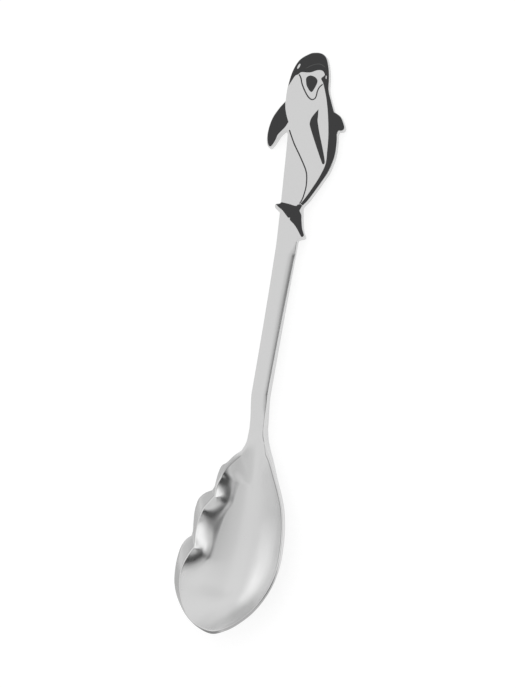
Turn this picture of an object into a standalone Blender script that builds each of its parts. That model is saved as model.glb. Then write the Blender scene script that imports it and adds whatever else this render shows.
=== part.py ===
"""Coffee spoon with a wave-edged bowl, a slim stem and a flat dolphin figure filled with black enamel.

The spoon is drawn in the plane of its handle: the top of the handle is z = 0, the neck is y = 0, the
bowl runs to -y and the figure to +y, all in millimetres. At the end the whole spoon is laid on a table.
"""
import math

import bmesh
import bpy
import numpy as np
from mathutils import Vector
from mathutils.geometry import delaunay_2d_cdt

MM = 0.001

BOWL_WIDTH = 27.5
BOWL_LENGTH = 54.7
BOWL_DEPTH = 5.1
SHELL = 1.2
CREST = 0.55
RIM_PITCH = math.radians(4.15)
WALL_POWER = 1.4
FLOOR_ROUND = 0.3
NECK_SHALLOW = 0.35
BAY_SHARE = 0.45
BAY_RUN = 3.2
BAY_POWER = 1.5
WAVE_FADE = 4.0
RIM_BAND = 3.6

NECK_WIDTH = 3.65
NECK_THICK = 2.8
NECK_DROP = 1.8
NECK_RISE = 10.0

STEM_LENGTH = 45.8
STEM_WIDTH = 4.14
STEM_END_WIDTH = 5.28
STEM_THICK = 2.2
STEM_ROUND = 0.25

FIGURE_LENGTH = 49.07
FIGURE_THICK = 1.2
POCKET_DEPTH = 0.4
LINE_WIDTH = 0.32

FIT = 0.03
SUNK = 0.02
JOIN = 0.05
JOIN_LENGTH = 2.0
BOWL_FLAT = 0.12

BOWL_KX = BOWL_WIDTH / 27.5
BOWL_KY = BOWL_LENGTH / 54.7
FIGURE_K = FIGURE_LENGTH / 49.07

# Rim of the bowl: crest x, crest y, lip x, lip y, fall from crest to lip, sharp.
# It runs from the left of the neck down three waves, round the tip and up the plain right side.
RIM = [
    (-3.05, -8.65, -4.48, -7.36, 1.05, False),
    (-4.8, -10.7, -6.3, -9.4, 1.15, False),
    (-5.9, -12.6, -7.5, -10.3, 1.15, False),
    (-6.25, -14.0, -7.95, -12.3, 1.05, False),
    (-6.7, -15.4, -8.0, -14.4, 0.9, False),
    (-6.9, -17.0, -8.0, -16.0, 0.75, False),
    (-6.8, -19.1, -8.4, -17.0, 0.65, True),
    (-8.25, -21.2, -10.25, -17.6, 1.0, False),
    (-9.15, -22.7, -11.6, -18.9, 1.2, False),
    (-9.55, -24.7, -12.0, -20.7, 1.3, False),
    (-9.75, -26.6, -12.0, -22.6, 1.25, False),
    (-9.7, -29.2, -11.6, -25.3, 1.1, False),
    (-9.4, -31.3, -11.15, -27.5, 0.85, False),
    (-9.35, -32.5, -11.2, -28.9, 0.7, True),
    (-10.4, -34.5, -12.65, -29.8, 1.1, False),
    (-11.15, -36.7, -13.6, -31.8, 1.2, False),
    (-11.4, -38.8, -13.9, -35.1, 1.2, False),
    (-11.15, -41.2, -13.7, -38.5, 1.2, False),
    (-10.5, -44.0, -13.0, -41.7, 1.1, False),
    (-9.0, -47.6, -11.3, -45.4, 1.0, False),
    (-6.55, -51.0, -8.2, -49.75, 0.9, False),
    (-3.4, -53.1, -4.5, -52.85, 0.8, False),
    (-0.1, -53.95, -0.4, -54.6, 0.75, False),
    (3.15, -53.2, 3.4, -53.7, 0.65, False),
    (6.1, -51.4, 6.4, -51.8, 0.6, False),
    (8.85, -48.7, 9.2, -49.05, 0.6, False),
    (11.0, -45.3, 11.4, -45.5, 0.6, False),
    (12.45, -41.4, 12.9, -41.5, 0.6, False),
    (13.1, -37.0, 13.6, -37.0, 0.6, False),
    (12.95, -32.2, 13.45, -32.1, 0.65, False),
    (12.25, -27.2, 12.75, -27.0, 0.7, False),
    (11.0, -22.2, 11.5, -21.95, 0.75, False),
    (9.3, -18.0, 9.8, -17.75, 0.85, False),
    (7.3, -13.8, 7.8, -13.55, 1.0, False),
    (5.1, -9.4, 5.78, -9.1, 1.3, False),
]
# Left sides of the neck and right sides of it, from the stem down: crest x, y, edge x, y, lip x, y from the
# neck's half width, then the fall to the lip as a share of the neck's thickness.
NECK_LEFT = [
    (-1.5, -7.28, 0.0, -2.3, 0.0, -2.3, 0.97),
    (-2.15, -7.83, -0.16, -5.15, -0.42, -4.87, 0.69),
]
NECK_RIGHT = [
    (1.65, -5.75, 0.12, -1.7, 0.39, -1.7, 0.97),
    (2.5, -6.15, 0.75, -4.0, 1.29, -3.95, 0.8),
    (3.45, -7.2, 2.0, -6.3, 2.42, -6.15, 0.6),
]
# Where the hollow starts below the left, the middle and the right of the neck.
NECK_ENDS = (-6.8, -6.2, -5.8)
# Valley along the bottom of the hollow: its x, where it starts and ends, and where it is deepest.
VALLEY = (0.5, -15.0, -42.0)
DEEPEST = -30.0
# Where the steep-walled bays start and are full, and where they fade and end.
BAYS = (-10.0, -13.5, -33.0, -44.0)

# Outline of the figure above the end of the stem: x, y from the stem end, sharp.
FIGURE = [
    (-2.64, 0.0, True), (-3.15, 7.9, True), (-3.75, 8.35, False), (-4.62, 9.1, False),
    (-4.68, 9.97, False), (-3.66, 10.2, False), (-3.33, 10.6, True), (-3.77, 16.1, False),
    (-4.37, 23.8, False), (-4.75, 28.0, True), (-5.4, 28.9, False), (-6.26, 28.3, False),
    (-6.9, 27.4, False), (-7.4, 26.35, False), (-7.97, 25.28, False), (-8.72, 24.5, False),
    (-9.5, 25.08, False), (-9.98, 26.78, False), (-10.04, 29.4, False), (-9.5, 32.2, False),
    (-8.23, 34.72, False), (-6.86, 36.6, True), (-7.0, 40.12, False), (-6.51, 44.07, False),
    (-5.18, 47.17, False), (-2.73, 48.81, False), (-1.1, 49.07, False), (0.13, 48.91, False),
    (1.17, 48.37, False), (2.03, 47.3, False), (2.9, 44.91, False), (3.46, 42.36, False),
    (3.91, 39.28, False), (5.17, 36.24, False), (6.28, 33.75, True), (8.14, 32.62, False),
    (9.21, 30.98, False), (9.77, 29.5, False), (9.27, 28.82, False), (8.39, 28.75, False),
    (8.11, 27.92, True), (8.45, 25.92, False), (8.54, 22.27, False), (7.75, 18.62, False),
    (6.54, 16.06, False), (3.9, 11.3, False), (2.56, 9.5, False), (2.62, 7.95, False), (3.0, 5.95, False),
    (3.62, 3.47, False), (4.4, 1.9, False), (4.2, 1.3, False), (3.3, 1.12, False), (2.66, 0.8, True),
    (2.64, 0.0, True),
]

# Enamel fills, drawn in the same place as the figure.
BACK = [
    (-6.86, 40.33, True), (-6.42, 44.0, False), (-5.13, 47.03, False), (-2.72, 48.68, False),
    (-1.11, 48.95, False), (0.11, 48.81, False), (1.11, 48.3, False), (1.95, 47.24, False),
    (2.82, 44.89, False), (3.38, 42.33, False), (3.83, 39.31, False), (5.08, 36.28, False),
    (6.25, 33.67, True), (8.07, 32.54, False), (9.13, 30.94, False), (9.67, 29.54, False),
    (9.16, 28.92, False), (8.28, 28.87, False), (8.01, 27.97, True), (8.35, 25.93, False),
    (8.44, 22.32, False), (7.64, 18.69, False), (6.47, 16.14, False), (3.79, 11.31, False),
    (2.46, 9.68, True), (1.81, 10.04, True), (2.64, 11.31, False), (3.86, 13.52, False),
    (5.5, 16.95, False), (6.48, 20.3, False), (6.32, 23.6, False), (5.89, 27.69, False),
    (4.92, 32.58, False), (3.9, 36.4, False), (2.95, 39.1, False), (2.09, 41.15, False),
    (1.39, 42.3, False), (2.0, 43.04, False), (2.11, 43.42, False), (1.53, 44.21, False),
    (0.72, 44.51, False), (-0.23, 44.43, False), (-1.46, 43.98, False), (-2.45, 43.9, False),
    (-4.11, 43.98, False), (-4.75, 43.46, False), (-5.55, 43.02, False), (-6.15, 41.88, False),
]
FLUKE = [
    (-4.56, 9.94, True), (-3.58, 10.08, False), (-3.17, 10.46, True), (-1.3, 10.06, False),
    (0.63, 9.53, False), (1.2, 9.85, False), (1.74, 9.98, True), (2.38, 9.62, True), (2.05, 8.77, False),
    (1.94, 8.23, False), (2.59, 7.13, False), (2.86, 5.79, False), (3.41, 3.74, False),
    (4.16, 2.06, False), (3.76, 1.56, False), (3.35, 1.88, False), (2.12, 3.61, False),
    (1.07, 4.81, False), (-0.13, 5.88, False), (-0.2, 6.48, True), (-0.77, 6.53, False),
    (-1.13, 6.87, False), (-2.55, 8.37, False), (-3.61, 9.13, False),
]
OUTER_FLIPPER = [
    (-6.88, 36.3, True), (-6.57, 34.62, False), (-5.91, 32.76, False), (-5.14, 31.14, True),
    (-5.84, 29.71, False), (-7.26, 27.93, False), (-7.63, 26.66, False), (-8.09, 25.55, False),
    (-8.68, 24.83, False), (-9.34, 25.34, False), (-9.86, 27.07, False), (-9.92, 29.36, False),
    (-9.39, 32.13, False), (-8.15, 34.6, False),
]
INNER_FLIPPER = [
    (2.1, 34.4, True), (2.31, 32.5, False), (2.45, 31.28, False), (3.56, 28.0, False),
    (5.13, 23.99, False), (6.19, 20.86, False), (5.77, 20.28, False), (4.99, 21.55, False),
    (2.72, 25.9, False), (0.84, 29.7, False), (0.46, 31.0, False), (0.82, 32.51, False),
]
CHIN = [
    (-2.51, 42.58, False), (-1.56, 43.12, False), (-0.2, 42.63, False), (0.53, 41.64, False),
    (0.19, 40.08, False), (-0.59, 38.85, False), (-1.91, 40.23, False), (-2.4, 41.47, False),
]
THROAT_LINE = [
    (-4.58, 43.4), (-3.96, 42.48), (-3.46, 41.17), (-2.76, 39.86), (-1.76, 38.34), (-0.86, 37.34),
    (-0.01, 36.89), (0.7, 37.25), (0.91, 38.06), (0.98, 39.07), (1.31, 40.09), (2.02, 40.87),
]
BELLY_LINE = [
    (-4.5, 29.05), (-3.77, 27.62), (-2.65, 25.57), (-1.61, 23.96), (0.0, 21.5), (1.86, 18.2), (2.47, 14.9),
    (2.29, 12.3), (2.0, 11.0), (1.6, 10.12),
]
LEFT_EYE = (-5.05, 45.5, 0.28, 0.7, -20.0)
RIGHT_EYE = (2.6, 42.65, 0.14, 0.46, 10.0)


def clear_scene():
    """Removes whatever the new file holds."""
    for item in list(bpy.data.objects):
        bpy.data.objects.remove(item)


def collection(name, hidden=False):
    """Adds a named collection to the scene.

    Args:
        name: the name of the collection.
        hidden: True for helpers that are not pieces of the spoon.

    Returns:
        The collection.
    """
    group = bpy.data.collections.new(name)
    group.hide_render = hidden
    bpy.context.scene.collection.children.link(group)
    return group


def material(name, colour, metallic, roughness):
    """Makes a plain Principled material and returns it."""
    made = bpy.data.materials.new(name)
    made.use_nodes = True
    shader = made.node_tree.nodes["Principled BSDF"]
    shader.inputs["Base Color"].default_value = (*colour, 1.0)
    shader.inputs["Metallic"].default_value = metallic
    shader.inputs["Roughness"].default_value = roughness
    return made


def smooth(value):
    """Eases from 0 to 1 as value goes from 0 to 1."""
    value = np.clip(value, 0.0, 1.0)
    return value * value * (3.0 - 2.0 * value)


def spline(points, sharp, steps, closed=True):
    """Runs a cubic through points.

    Args:
        points: one row a point, any number of columns.
        sharp: True for each point where the curve turns a corner.
        steps: pieces from one point to the next.
        closed: True where the last point leads back to the first.

    Returns:
        The points along the curve, as rows.
    """
    points = np.asarray(points, float)
    before = np.roll(points, 1, axis=0)
    after = np.roll(points, -1, axis=0)
    if not closed:
        before[0] = points[0]
        after[-1] = points[-1]
    slope = 0.5 * (after - before)
    slope[np.asarray(sharp, bool)] = 0.0
    if not closed:
        slope[0] *= 2.0
        slope[-1] *= 2.0
    last = len(points) if closed else len(points) - 1
    t = (np.arange(steps) / steps)[None, :, None]
    p0 = points[:last, None, :]
    m0 = slope[:last, None, :]
    p1 = np.roll(points, -1, axis=0)[:last, None, :]
    m1 = np.roll(slope, -1, axis=0)[:last, None, :]
    curve = ((2 * t**3 - 3 * t**2 + 1) * p0 + (t**3 - 2 * t**2 + t) * m0
             + (3 * t**2 - 2 * t**3) * p1 + (t**3 - t**2) * m1).reshape(-1, points.shape[1])
    return curve if closed else np.vstack([curve, points[-1:]])


def deck(y):
    """Height of the top of the spoon at y: the rim's own slope, the rise of the neck, then the flat handle."""
    rim = -NECK_DROP - y * math.tan(RIM_PITCH)
    return (1.0 - smooth((y + 0.24 * NECK_RISE) / NECK_RISE)) * rim


def stem_half(y):
    """Half the width of the stem at y."""
    lower = NECK_WIDTH + (STEM_WIDTH - NECK_WIDTH) * smooth(y / (0.9 * NECK_RISE))
    upper = (STEM_END_WIDTH - STEM_WIDTH) * np.clip(y / STEM_LENGTH, 0.0, 1.0) ** 2.2
    return 0.5 * (lower + upper)


def stem_thick(y):
    """Thickness of the stem at y."""
    lower = NECK_THICK + (STEM_THICK - NECK_THICK) * smooth(y / (0.9 * NECK_RISE))
    return lower - (STEM_THICK - FIGURE_THICK) * np.clip(y / STEM_LENGTH, 0.0, 1.0) ** 1.5


def rim_stations():
    """Lists the bowl's rim with the two sides and the end of the neck.

    Returns:
        Rows of crest x, y, crest outside x, y, lip x, y and fall, and the list of sharp corners.
    """
    half = 0.5 * NECK_WIDTH
    ends = []
    for side, end in zip((-1.0, 0.0, 1.0), NECK_ENDS):
        ends.append((0.5 * half * side, end * BOWL_KY, half * side, 0.0, half * side, 0.0, NECK_THICK))
    sides = []
    for side, table in ((-half, NECK_LEFT), (half, NECK_RIGHT)):
        rows = np.array(table) * (BOWL_KX, BOWL_KY, BOWL_KX, BOWL_KY, BOWL_KX, BOWL_KY, NECK_THICK)
        sides.append(rows + (0.0, 0.0, side, 0.0, side, 0.0, 0.0))
    bowl = []
    for crest_x, crest_y, lip_x, lip_y, fall, corner in RIM:
        crest = np.array([crest_x * BOWL_KX, crest_y * BOWL_KY])
        lip = np.array([lip_x * BOWL_KX, lip_y * BOWL_KY])
        run = np.linalg.norm(lip - crest)
        edge = crest + (lip - crest) * min(CREST, 0.5 * run) / run
        bowl.append(((*crest, *edge, *lip, fall), corner))
    order = [(ends[0], True)]
    order += [(row, False) for row in sides[0]]
    order += bowl
    order += [(row, False) for row in sides[1][::-1]]
    order += [(ends[2], True), (ends[1], False)]
    return np.array([row for row, _ in order]), [corner for _, corner in order]


def soften(ring, spread):
    """Evens out a closed ring of values over a number of its points."""
    wave = np.exp(-0.5 * (2.0 * math.pi * spread * np.fft.fftfreq(len(ring))) ** 2)
    return np.fft.ifft(np.fft.fft(ring, axis=0) * wave[:, None], axis=0).real


def dished(r):
    """Climb of the hollow from 0 at its middle to 1 at its rim, round at the bottom."""
    low = FLOOR_ROUND**WALL_POWER
    high = (1.0 + FLOOR_ROUND**2) ** (0.5 * WALL_POWER)
    return ((r**2 + FLOOR_ROUND**2) ** (0.5 * WALL_POWER) - low) / (high - low)


def valley(y):
    """Height of the bottom of the hollow at y, deepest in the wide part and shallower towards the neck."""
    along = (y / BOWL_KY - DEEPEST) / (VALLEY[1] - DEEPEST)
    return deck(y) - BOWL_DEPTH * (1.0 - NECK_SHALLOW * along**2)


def bowl_rings():
    """Works out the bowl as rings, from the middle of the hollow over the rim to the middle of the back.

    Returns:
        The rings, as an array of rings by points by xyz, and the points that lie in the first and last ring.
    """
    rows, corners = rim_stations()
    around = spline(rows, corners, 2)
    crest = spline(rows[:, 0:2], [corner and y < -8.0 for corner, y in zip(corners, rows[:, 1])], 2)
    edge = around[:, 2:4]
    lip = around[:, 4:6]
    fall = around[:, 6]
    start = np.column_stack([np.full(len(crest), VALLEY[0] * BOWL_KX),
                             np.clip(crest[:, 1], VALLEY[2] * BOWL_KY, VALLEY[1] * BOWL_KY)])
    start = soften(start, 3.0)
    floor = valley(start[:, 1])
    radius = np.linalg.norm(crest - start, axis=1)
    down = crest[:, 1] / BOWL_KY
    wavy = smooth((BAYS[0] - down) / (BAYS[0] - BAYS[1])) * smooth((down - BAYS[3]) / (BAYS[2] - BAYS[3]))
    wavy *= smooth(-crest[:, 0] / RIM_BAND)
    step = wavy * BAY_SHARE * (deck(crest[:, 1]) - floor)

    # The waves of the rim fade out down the wall, and a bay gains most of its height in its outer run.
    near = np.array([1.0, 0.76, 0.56, 0.38, 0.22, 0.09, 0.0]) * RIM_BAND
    inner = np.array([0.1, 0.26, 0.42, 0.58, 0.73, 0.87])
    hollow = []
    parts = []
    for share, gap in [*zip(inner, near[0] + 8.0 * (1.0 - inner)), *zip(np.ones(len(near)), near)]:
        spread = 5.5 * min(gap / WAVE_FADE, 1.0) ** 1.1
        soft = crest + wavy[:, None] * (soften(crest, spread) - crest)
        r = share * (1.0 - min(gap, near[0]) / radius)
        rise = floor + (deck(crest[:, 1]) - step - floor) * dished(r)
        rise += step * np.clip(1.0 - (1.0 - r) * radius / BAY_RUN, 0.0, 1.0) ** BAY_POWER
        hollow.append(np.column_stack([start + r[:, None] * (soft - start), rise]))
        parts.append(r.mean())
    hollow = np.array(hollow)
    parts = np.array(parts)
    across = np.gradient(hollow, axis=0)
    along = np.roll(hollow, -1, axis=1) - np.roll(hollow, 1, axis=1)
    normal = np.cross(across, along)
    normal /= np.linalg.norm(normal, axis=2)[..., None]
    top = np.column_stack([lip, deck(lip[:, 1]) - fall])
    share = smooth((parts - 0.4) / 0.6)[:, None, None]
    shell = hollow - (1.0 - share) * SHELL * normal + share * (top - hollow[-1])[None]
    brim = []
    for part in (0.35, 0.7, 1.0):
        plan = crest + (edge - crest) * part
        brim.append(np.column_stack([plan, deck(plan[:, 1])]))
    rings = [*hollow, *brim, *shell[::-1]]
    line = np.linspace(VALLEY[1], VALLEY[2], 12) * BOWL_KY
    bottom = np.column_stack([np.full(len(line), VALLEY[0] * BOWL_KX), line, valley(line)])
    return np.array(rings), bottom, bottom - (0.0, 0.0, SHELL)


def stem_rings():
    """Works out the stem as rounded sections from inside the neck to inside the figure."""
    low = np.arange(-JOIN_LENGTH, NECK_RISE, 1.0)
    high = np.linspace(NECK_RISE, STEM_LENGTH + JOIN_LENGTH, 12)
    rings = []
    for y in np.concatenate([low, high]):
        half = float(stem_half(y)) - JOIN
        thick = float(stem_thick(y)) - 2.0 * JOIN
        top = float(deck(y)) - JOIN
        bend = min(STEM_ROUND, 0.4 * thick, 0.4 * half)
        ring = []
        for corner_x, corner_z, start in ((half - bend, top - bend, 0.0), (bend - half, top - bend, 90.0),
                                          (bend - half, top - thick + bend, 180.0),
                                          (half - bend, top - thick + bend, 270.0)):
            for turn in (0.0, 30.0, 60.0, 90.0):
                angle = math.radians(start + turn)
                ring.append((corner_x + bend * math.cos(angle), y, corner_z + bend * math.sin(angle)))
        rings.append(ring)
    return np.array(rings)


def loft(name, rings, first, last, group):
    """Skins rings of points into one closed body.

    Args:
        name: the name of the object.
        rings: rings by points by xyz, in millimetres.
        first: the points that lie in the first ring, or None for a flat end.
        last: the points that lie in the last ring, or None for a flat end.
        group: the collection it goes into.

    Returns:
        The object.
    """
    mesh = bmesh.new()
    grid = [[mesh.verts.new(point * MM) for point in ring] for ring in rings]
    count = len(grid[0])
    for lower, upper in zip(grid[:-1], grid[1:]):
        for i in range(count):
            mesh.faces.new((lower[i], lower[(i + 1) % count], upper[(i + 1) % count], upper[i]))
    for ring, within in ((grid[0], first), (grid[-1], last)):
        if within is None:
            mesh.faces.new(ring)
        else:
            every = ring + [mesh.verts.new(point * MM) for point in within]
            flat = [Vector((vert.co.x / MM, vert.co.y / MM)) for vert in every]
            for corners in delaunay_2d_cdt(flat, [], [list(range(count))], 1, 1e-6)[2]:
                mesh.faces.new([every[i] for i in corners])
    bmesh.ops.recalc_face_normals(mesh, faces=mesh.faces)
    return finish(name, mesh, group)


def finish(name, mesh, group):
    """Turns a bmesh into an object in a collection and returns it."""
    data = bpy.data.meshes.new(name)
    mesh.to_mesh(data)
    mesh.free()
    made = bpy.data.objects.new(name, data)
    group.objects.link(made)
    return made


def slab(name, loops, low, high, group):
    """Fills flat outlines and raises them into a body.

    Args:
        name: the name of the object.
        loops: closed outlines in millimetres; a loop inside another is a hole.
        low: height of the underside.
        high: height of the top.
        group: the collection it goes into.

    Returns:
        The object.
    """
    drawing = bpy.data.curves.new(name + "_outline", "CURVE")
    drawing.dimensions = "2D"
    drawing.fill_mode = "BOTH"
    drawing.extrude = 0.5 * (high - low)
    for loop in loops:
        line = drawing.splines.new("POLY")
        line.points.add(len(loop) - 1)
        for point, (x, y) in zip(line.points, loop):
            point.co = (x, y, 0.0, 1.0)
        line.use_cyclic_u = True
    holder = bpy.data.objects.new(name + "_outline", drawing)
    bpy.context.scene.collection.objects.link(holder)
    bpy.context.view_layer.update()
    data = bpy.data.meshes.new_from_object(holder)
    bpy.data.objects.remove(holder)
    mesh = bmesh.new()
    mesh.from_mesh(data)
    bpy.data.meshes.remove(data)
    bmesh.ops.remove_doubles(mesh, verts=mesh.verts, dist=1e-4)
    bmesh.ops.translate(mesh, verts=mesh.verts, vec=(0.0, 0.0, 0.5 * (low + high)))
    bmesh.ops.scale(mesh, verts=mesh.verts, vec=(MM, MM, MM))
    bmesh.ops.recalc_face_normals(mesh, faces=mesh.faces)
    return finish(name, mesh, group)


def plain(loop):
    """Leaves out the points of a closed outline that lie on a straight run."""
    ahead = np.roll(loop, -1, axis=0) - loop
    behind = loop - np.roll(loop, 1, axis=0)
    turn = ahead[:, 0] * behind[:, 1] - ahead[:, 1] * behind[:, 0]
    return loop[np.abs(turn) > 1e-4]


def inset(loop, distance):
    """Moves a closed outline inwards by a distance, outwards where it is negative."""
    ahead = np.roll(loop, -1, axis=0) - loop
    ahead /= np.linalg.norm(ahead, axis=1)[:, None]
    behind = np.roll(ahead, 1, axis=0)
    out = np.column_stack([ahead[:, 1] + behind[:, 1], -ahead[:, 0] - behind[:, 0]])
    out /= np.maximum(np.linalg.norm(out, axis=1), 1e-9)[:, None]
    lean = np.maximum(np.abs(np.sum(out * np.column_stack([ahead[:, 1], -ahead[:, 0]]), axis=1)), 0.5)
    turn = 0.5 * np.sum(loop[:, 0] * np.roll(loop[:, 1], -1) - np.roll(loop[:, 0], -1) * loop[:, 1])
    return loop - out * (distance * math.copysign(1.0, turn) / lean)[:, None]


def drawn(table, steps=3):
    """Runs an outline of the figure through its points and sets it above the stem."""
    points = np.array([(x, y) for x, y, _ in table]) * FIGURE_K
    foot = points[:, 1] == 0.0
    points[foot, 0] = np.sign(points[foot, 0]) * 0.5 * STEM_END_WIDTH
    return plain(spline(points, [corner for _, _, corner in table], steps)) + (0.0, STEM_LENGTH)


def stroke(table, width):
    """Draws a line of even width as a closed outline."""
    path = spline(np.array(table) * FIGURE_K, [False] * len(table), 4, closed=False) + (0.0, STEM_LENGTH)
    along = np.gradient(path, axis=0)
    along /= np.linalg.norm(along, axis=1)[:, None]
    side = np.column_stack([-along[:, 1], along[:, 0]]) * 0.5 * width
    return np.vstack([path + side, (path - side)[::-1]])


def oval(centre_x, centre_y, half_x, half_y, tilt):
    """Draws a tilted oval as a closed outline."""
    angle = np.linspace(0.0, 2.0 * math.pi, 16, endpoint=False)
    x = half_x * np.cos(angle)
    y = half_y * np.sin(angle)
    turn = math.radians(tilt)
    flat = np.column_stack([x * math.cos(turn) - y * math.sin(turn), x * math.sin(turn) + y * math.cos(turn)])
    return (flat + (centre_x, centre_y)) * FIGURE_K + (0.0, STEM_LENGTH)


def boolean(target, tool, operation):
    """Adds a Boolean modifier to target."""
    step = target.modifiers.new(operation.lower() + "_" + tool.name, "BOOLEAN")
    step.operation = operation
    step.solver = "EXACT"
    step.object = tool


def table_plane(bowl, outline):
    """Finds how the spoon lies on a table: on a small flat on the back of its bowl and on its figure's end.

    Args:
        bowl: the points of the bowl.
        outline: the outline of the figure.

    Returns:
        The slope of the table along y in the spoon's own frame, and its height at y = 0.
    """
    slope = 0.0
    end = float(outline[:, 1].max())
    for _ in range(12):
        low = bowl[np.argmin(bowl[:, 2] - slope * bowl[:, 1])]
        slope = (-FIGURE_THICK - low[2] - BOWL_FLAT) / (end - low[1])
    return slope, -FIGURE_THICK - slope * end


def lay_down(pieces, slope, height, outline, bowl):
    """Lays the spoon on the table, with the middle of its outline above the origin.

    Args:
        pieces: the objects of the spoon.
        slope: the slope of the table along y in the spoon's own frame.
        height: the height of the table at y = 0 there.
        outline: the outline of the figure.
        bowl: the points of the bowl.
    """
    pitch = math.atan(slope)
    turn = np.array([[math.cos(pitch), math.sin(pitch)], [-math.sin(pitch), math.cos(pitch)]])
    top = np.column_stack([outline[:, 1], np.zeros(len(outline))])
    under = np.column_stack([outline[:, 1], np.full(len(outline), -FIGURE_THICK)])
    side = np.vstack([bowl[:, 1:3], top, under]) @ turn.T
    wide = np.concatenate([bowl[:, 0], outline[:, 0]])
    rest = bpy.data.objects.new("spoon_on_table", None)
    rest.rotation_euler = (-pitch, 0.0, 0.0)
    rest.location = (-0.5 * (wide.min() + wide.max()) * MM, -0.5 * (side[:, 0].min() + side[:, 0].max()) * MM,
                     -height * math.cos(pitch) * MM)
    bpy.context.scene.collection.objects.link(rest)
    for piece in pieces:
        piece.parent = rest


def build():
    """Builds the spoon."""
    clear_scene()
    spoon = collection("dolphin_coffee_spoon")
    tools = collection("cutters", hidden=True)
    steel = material("polished_steel", (0.62, 0.62, 0.62), 1.0, 0.25)
    enamel = material("black_enamel", (0.03, 0.03, 0.03), 0.0, 0.3)

    outline = drawn(FIGURE)
    rings, inside, outside = bowl_rings()
    slope, height = table_plane(np.vstack([rings.reshape(-1, 3), outside]), outline)
    rings[..., 2] = np.maximum(rings[..., 2], height + slope * rings[..., 1])
    outside[:, 2] = np.maximum(outside[:, 2], height + slope * outside[:, 1])
    points = np.vstack([rings.reshape(-1, 3), outside])

    body = slab("spoon_body", [outline], -FIGURE_THICK, 0.0, spoon)
    body.data.materials.append(steel)
    eyes = [oval(*LEFT_EYE), oval(*RIGHT_EYE)]
    fills = {
        "enamel_back": ([drawn(BACK)], eyes),
        "enamel_fluke": ([drawn(FLUKE)], []),
        "enamel_outer_flipper": ([drawn(OUTER_FLIPPER)], []),
        "enamel_inner_flipper": ([drawn(INNER_FLIPPER)], []),
        "enamel_chin": ([drawn(CHIN)], []),
        "enamel_throat_line": ([stroke(THROAT_LINE, LINE_WIDTH)], []),
        "enamel_belly_line": ([stroke(BELLY_LINE, LINE_WIDTH)], []),
    }
    pieces = [body]
    loops = [loop for edges, holes in fills.values() for loop in edges + holes]
    pockets = slab("pockets", loops, -POCKET_DEPTH, FIGURE_THICK, tools)
    for name, (edges, holes) in fills.items():
        loops = [inset(edge, FIT) for edge in edges] + [inset(hole, -FIT) for hole in holes]
        fill = slab(name, loops, FIT - POCKET_DEPTH, -SUNK, spoon)
        fill.data.materials.append(enamel)
        pieces.append(fill)
    stem = loft("stem", stem_rings(), None, None, tools)
    bowl = loft("bowl", rings, inside, outside, tools)
    boolean(body, stem, "UNION")
    boolean(body, bowl, "UNION")
    boolean(body, pockets, "DIFFERENCE")
    helpers = [pockets, stem, bowl]
    for helper in helpers:
        helper.display_type = "WIRE"
        helper.hide_render = True
    lay_down(pieces + helpers, slope, height, outline, points)


build()
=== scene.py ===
"""Coffee spoon with a wave-edged bowl, a slim stem and a flat dolphin figure filled with black enamel.

Every shape is worked out in millimetres in the plane of the handle: the top of the handle is z = 0, the
neck is y = 0, the bowl runs to -y and the figure to +y. TablePose then lays the points on the table.
"""
import logging
import math
from dataclasses import dataclass
from enum import Enum
from typing import Any, Optional, Sequence, Union

import bmesh
import bpy
import numpy as np
from mathutils import Matrix, Vector
from mathutils.geometry import delaunay_2d_cdt

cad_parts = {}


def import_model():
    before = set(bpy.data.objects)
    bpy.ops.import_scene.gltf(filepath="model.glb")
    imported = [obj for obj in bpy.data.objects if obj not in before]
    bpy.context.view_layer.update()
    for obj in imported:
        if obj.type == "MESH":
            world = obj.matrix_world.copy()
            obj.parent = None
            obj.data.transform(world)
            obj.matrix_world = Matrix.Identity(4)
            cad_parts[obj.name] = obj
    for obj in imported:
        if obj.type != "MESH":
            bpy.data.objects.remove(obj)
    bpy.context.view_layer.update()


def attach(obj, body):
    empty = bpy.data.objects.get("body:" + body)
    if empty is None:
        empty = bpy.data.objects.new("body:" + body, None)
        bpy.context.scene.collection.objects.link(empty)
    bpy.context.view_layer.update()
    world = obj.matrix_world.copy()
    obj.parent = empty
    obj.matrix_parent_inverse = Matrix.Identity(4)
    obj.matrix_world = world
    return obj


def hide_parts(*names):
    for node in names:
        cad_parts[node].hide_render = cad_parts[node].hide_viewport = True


LOG = logging.getLogger("spoon")
MM = 0.001
TINY = 1e-12
FAR = 1e6

# Points closer than WELD become one, and the triangulation merges those closer than MERGE.
WELD = 2e-4
MERGE = 1e-7

# A worn top edge: its pieces, those of them in its round corner, and how its slope steepens.
EDGE_STEPS = 12
CORNER_STEPS = 3
SLOPE_POWER = 1.5

# Edges that turn by more than this many degrees stay sharp.
STEEL_CREASE = 42.0
ENAMEL_CREASE = 60.0
LINE_CREASE = 50.0
SHADING_WEIGHT = 80

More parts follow.
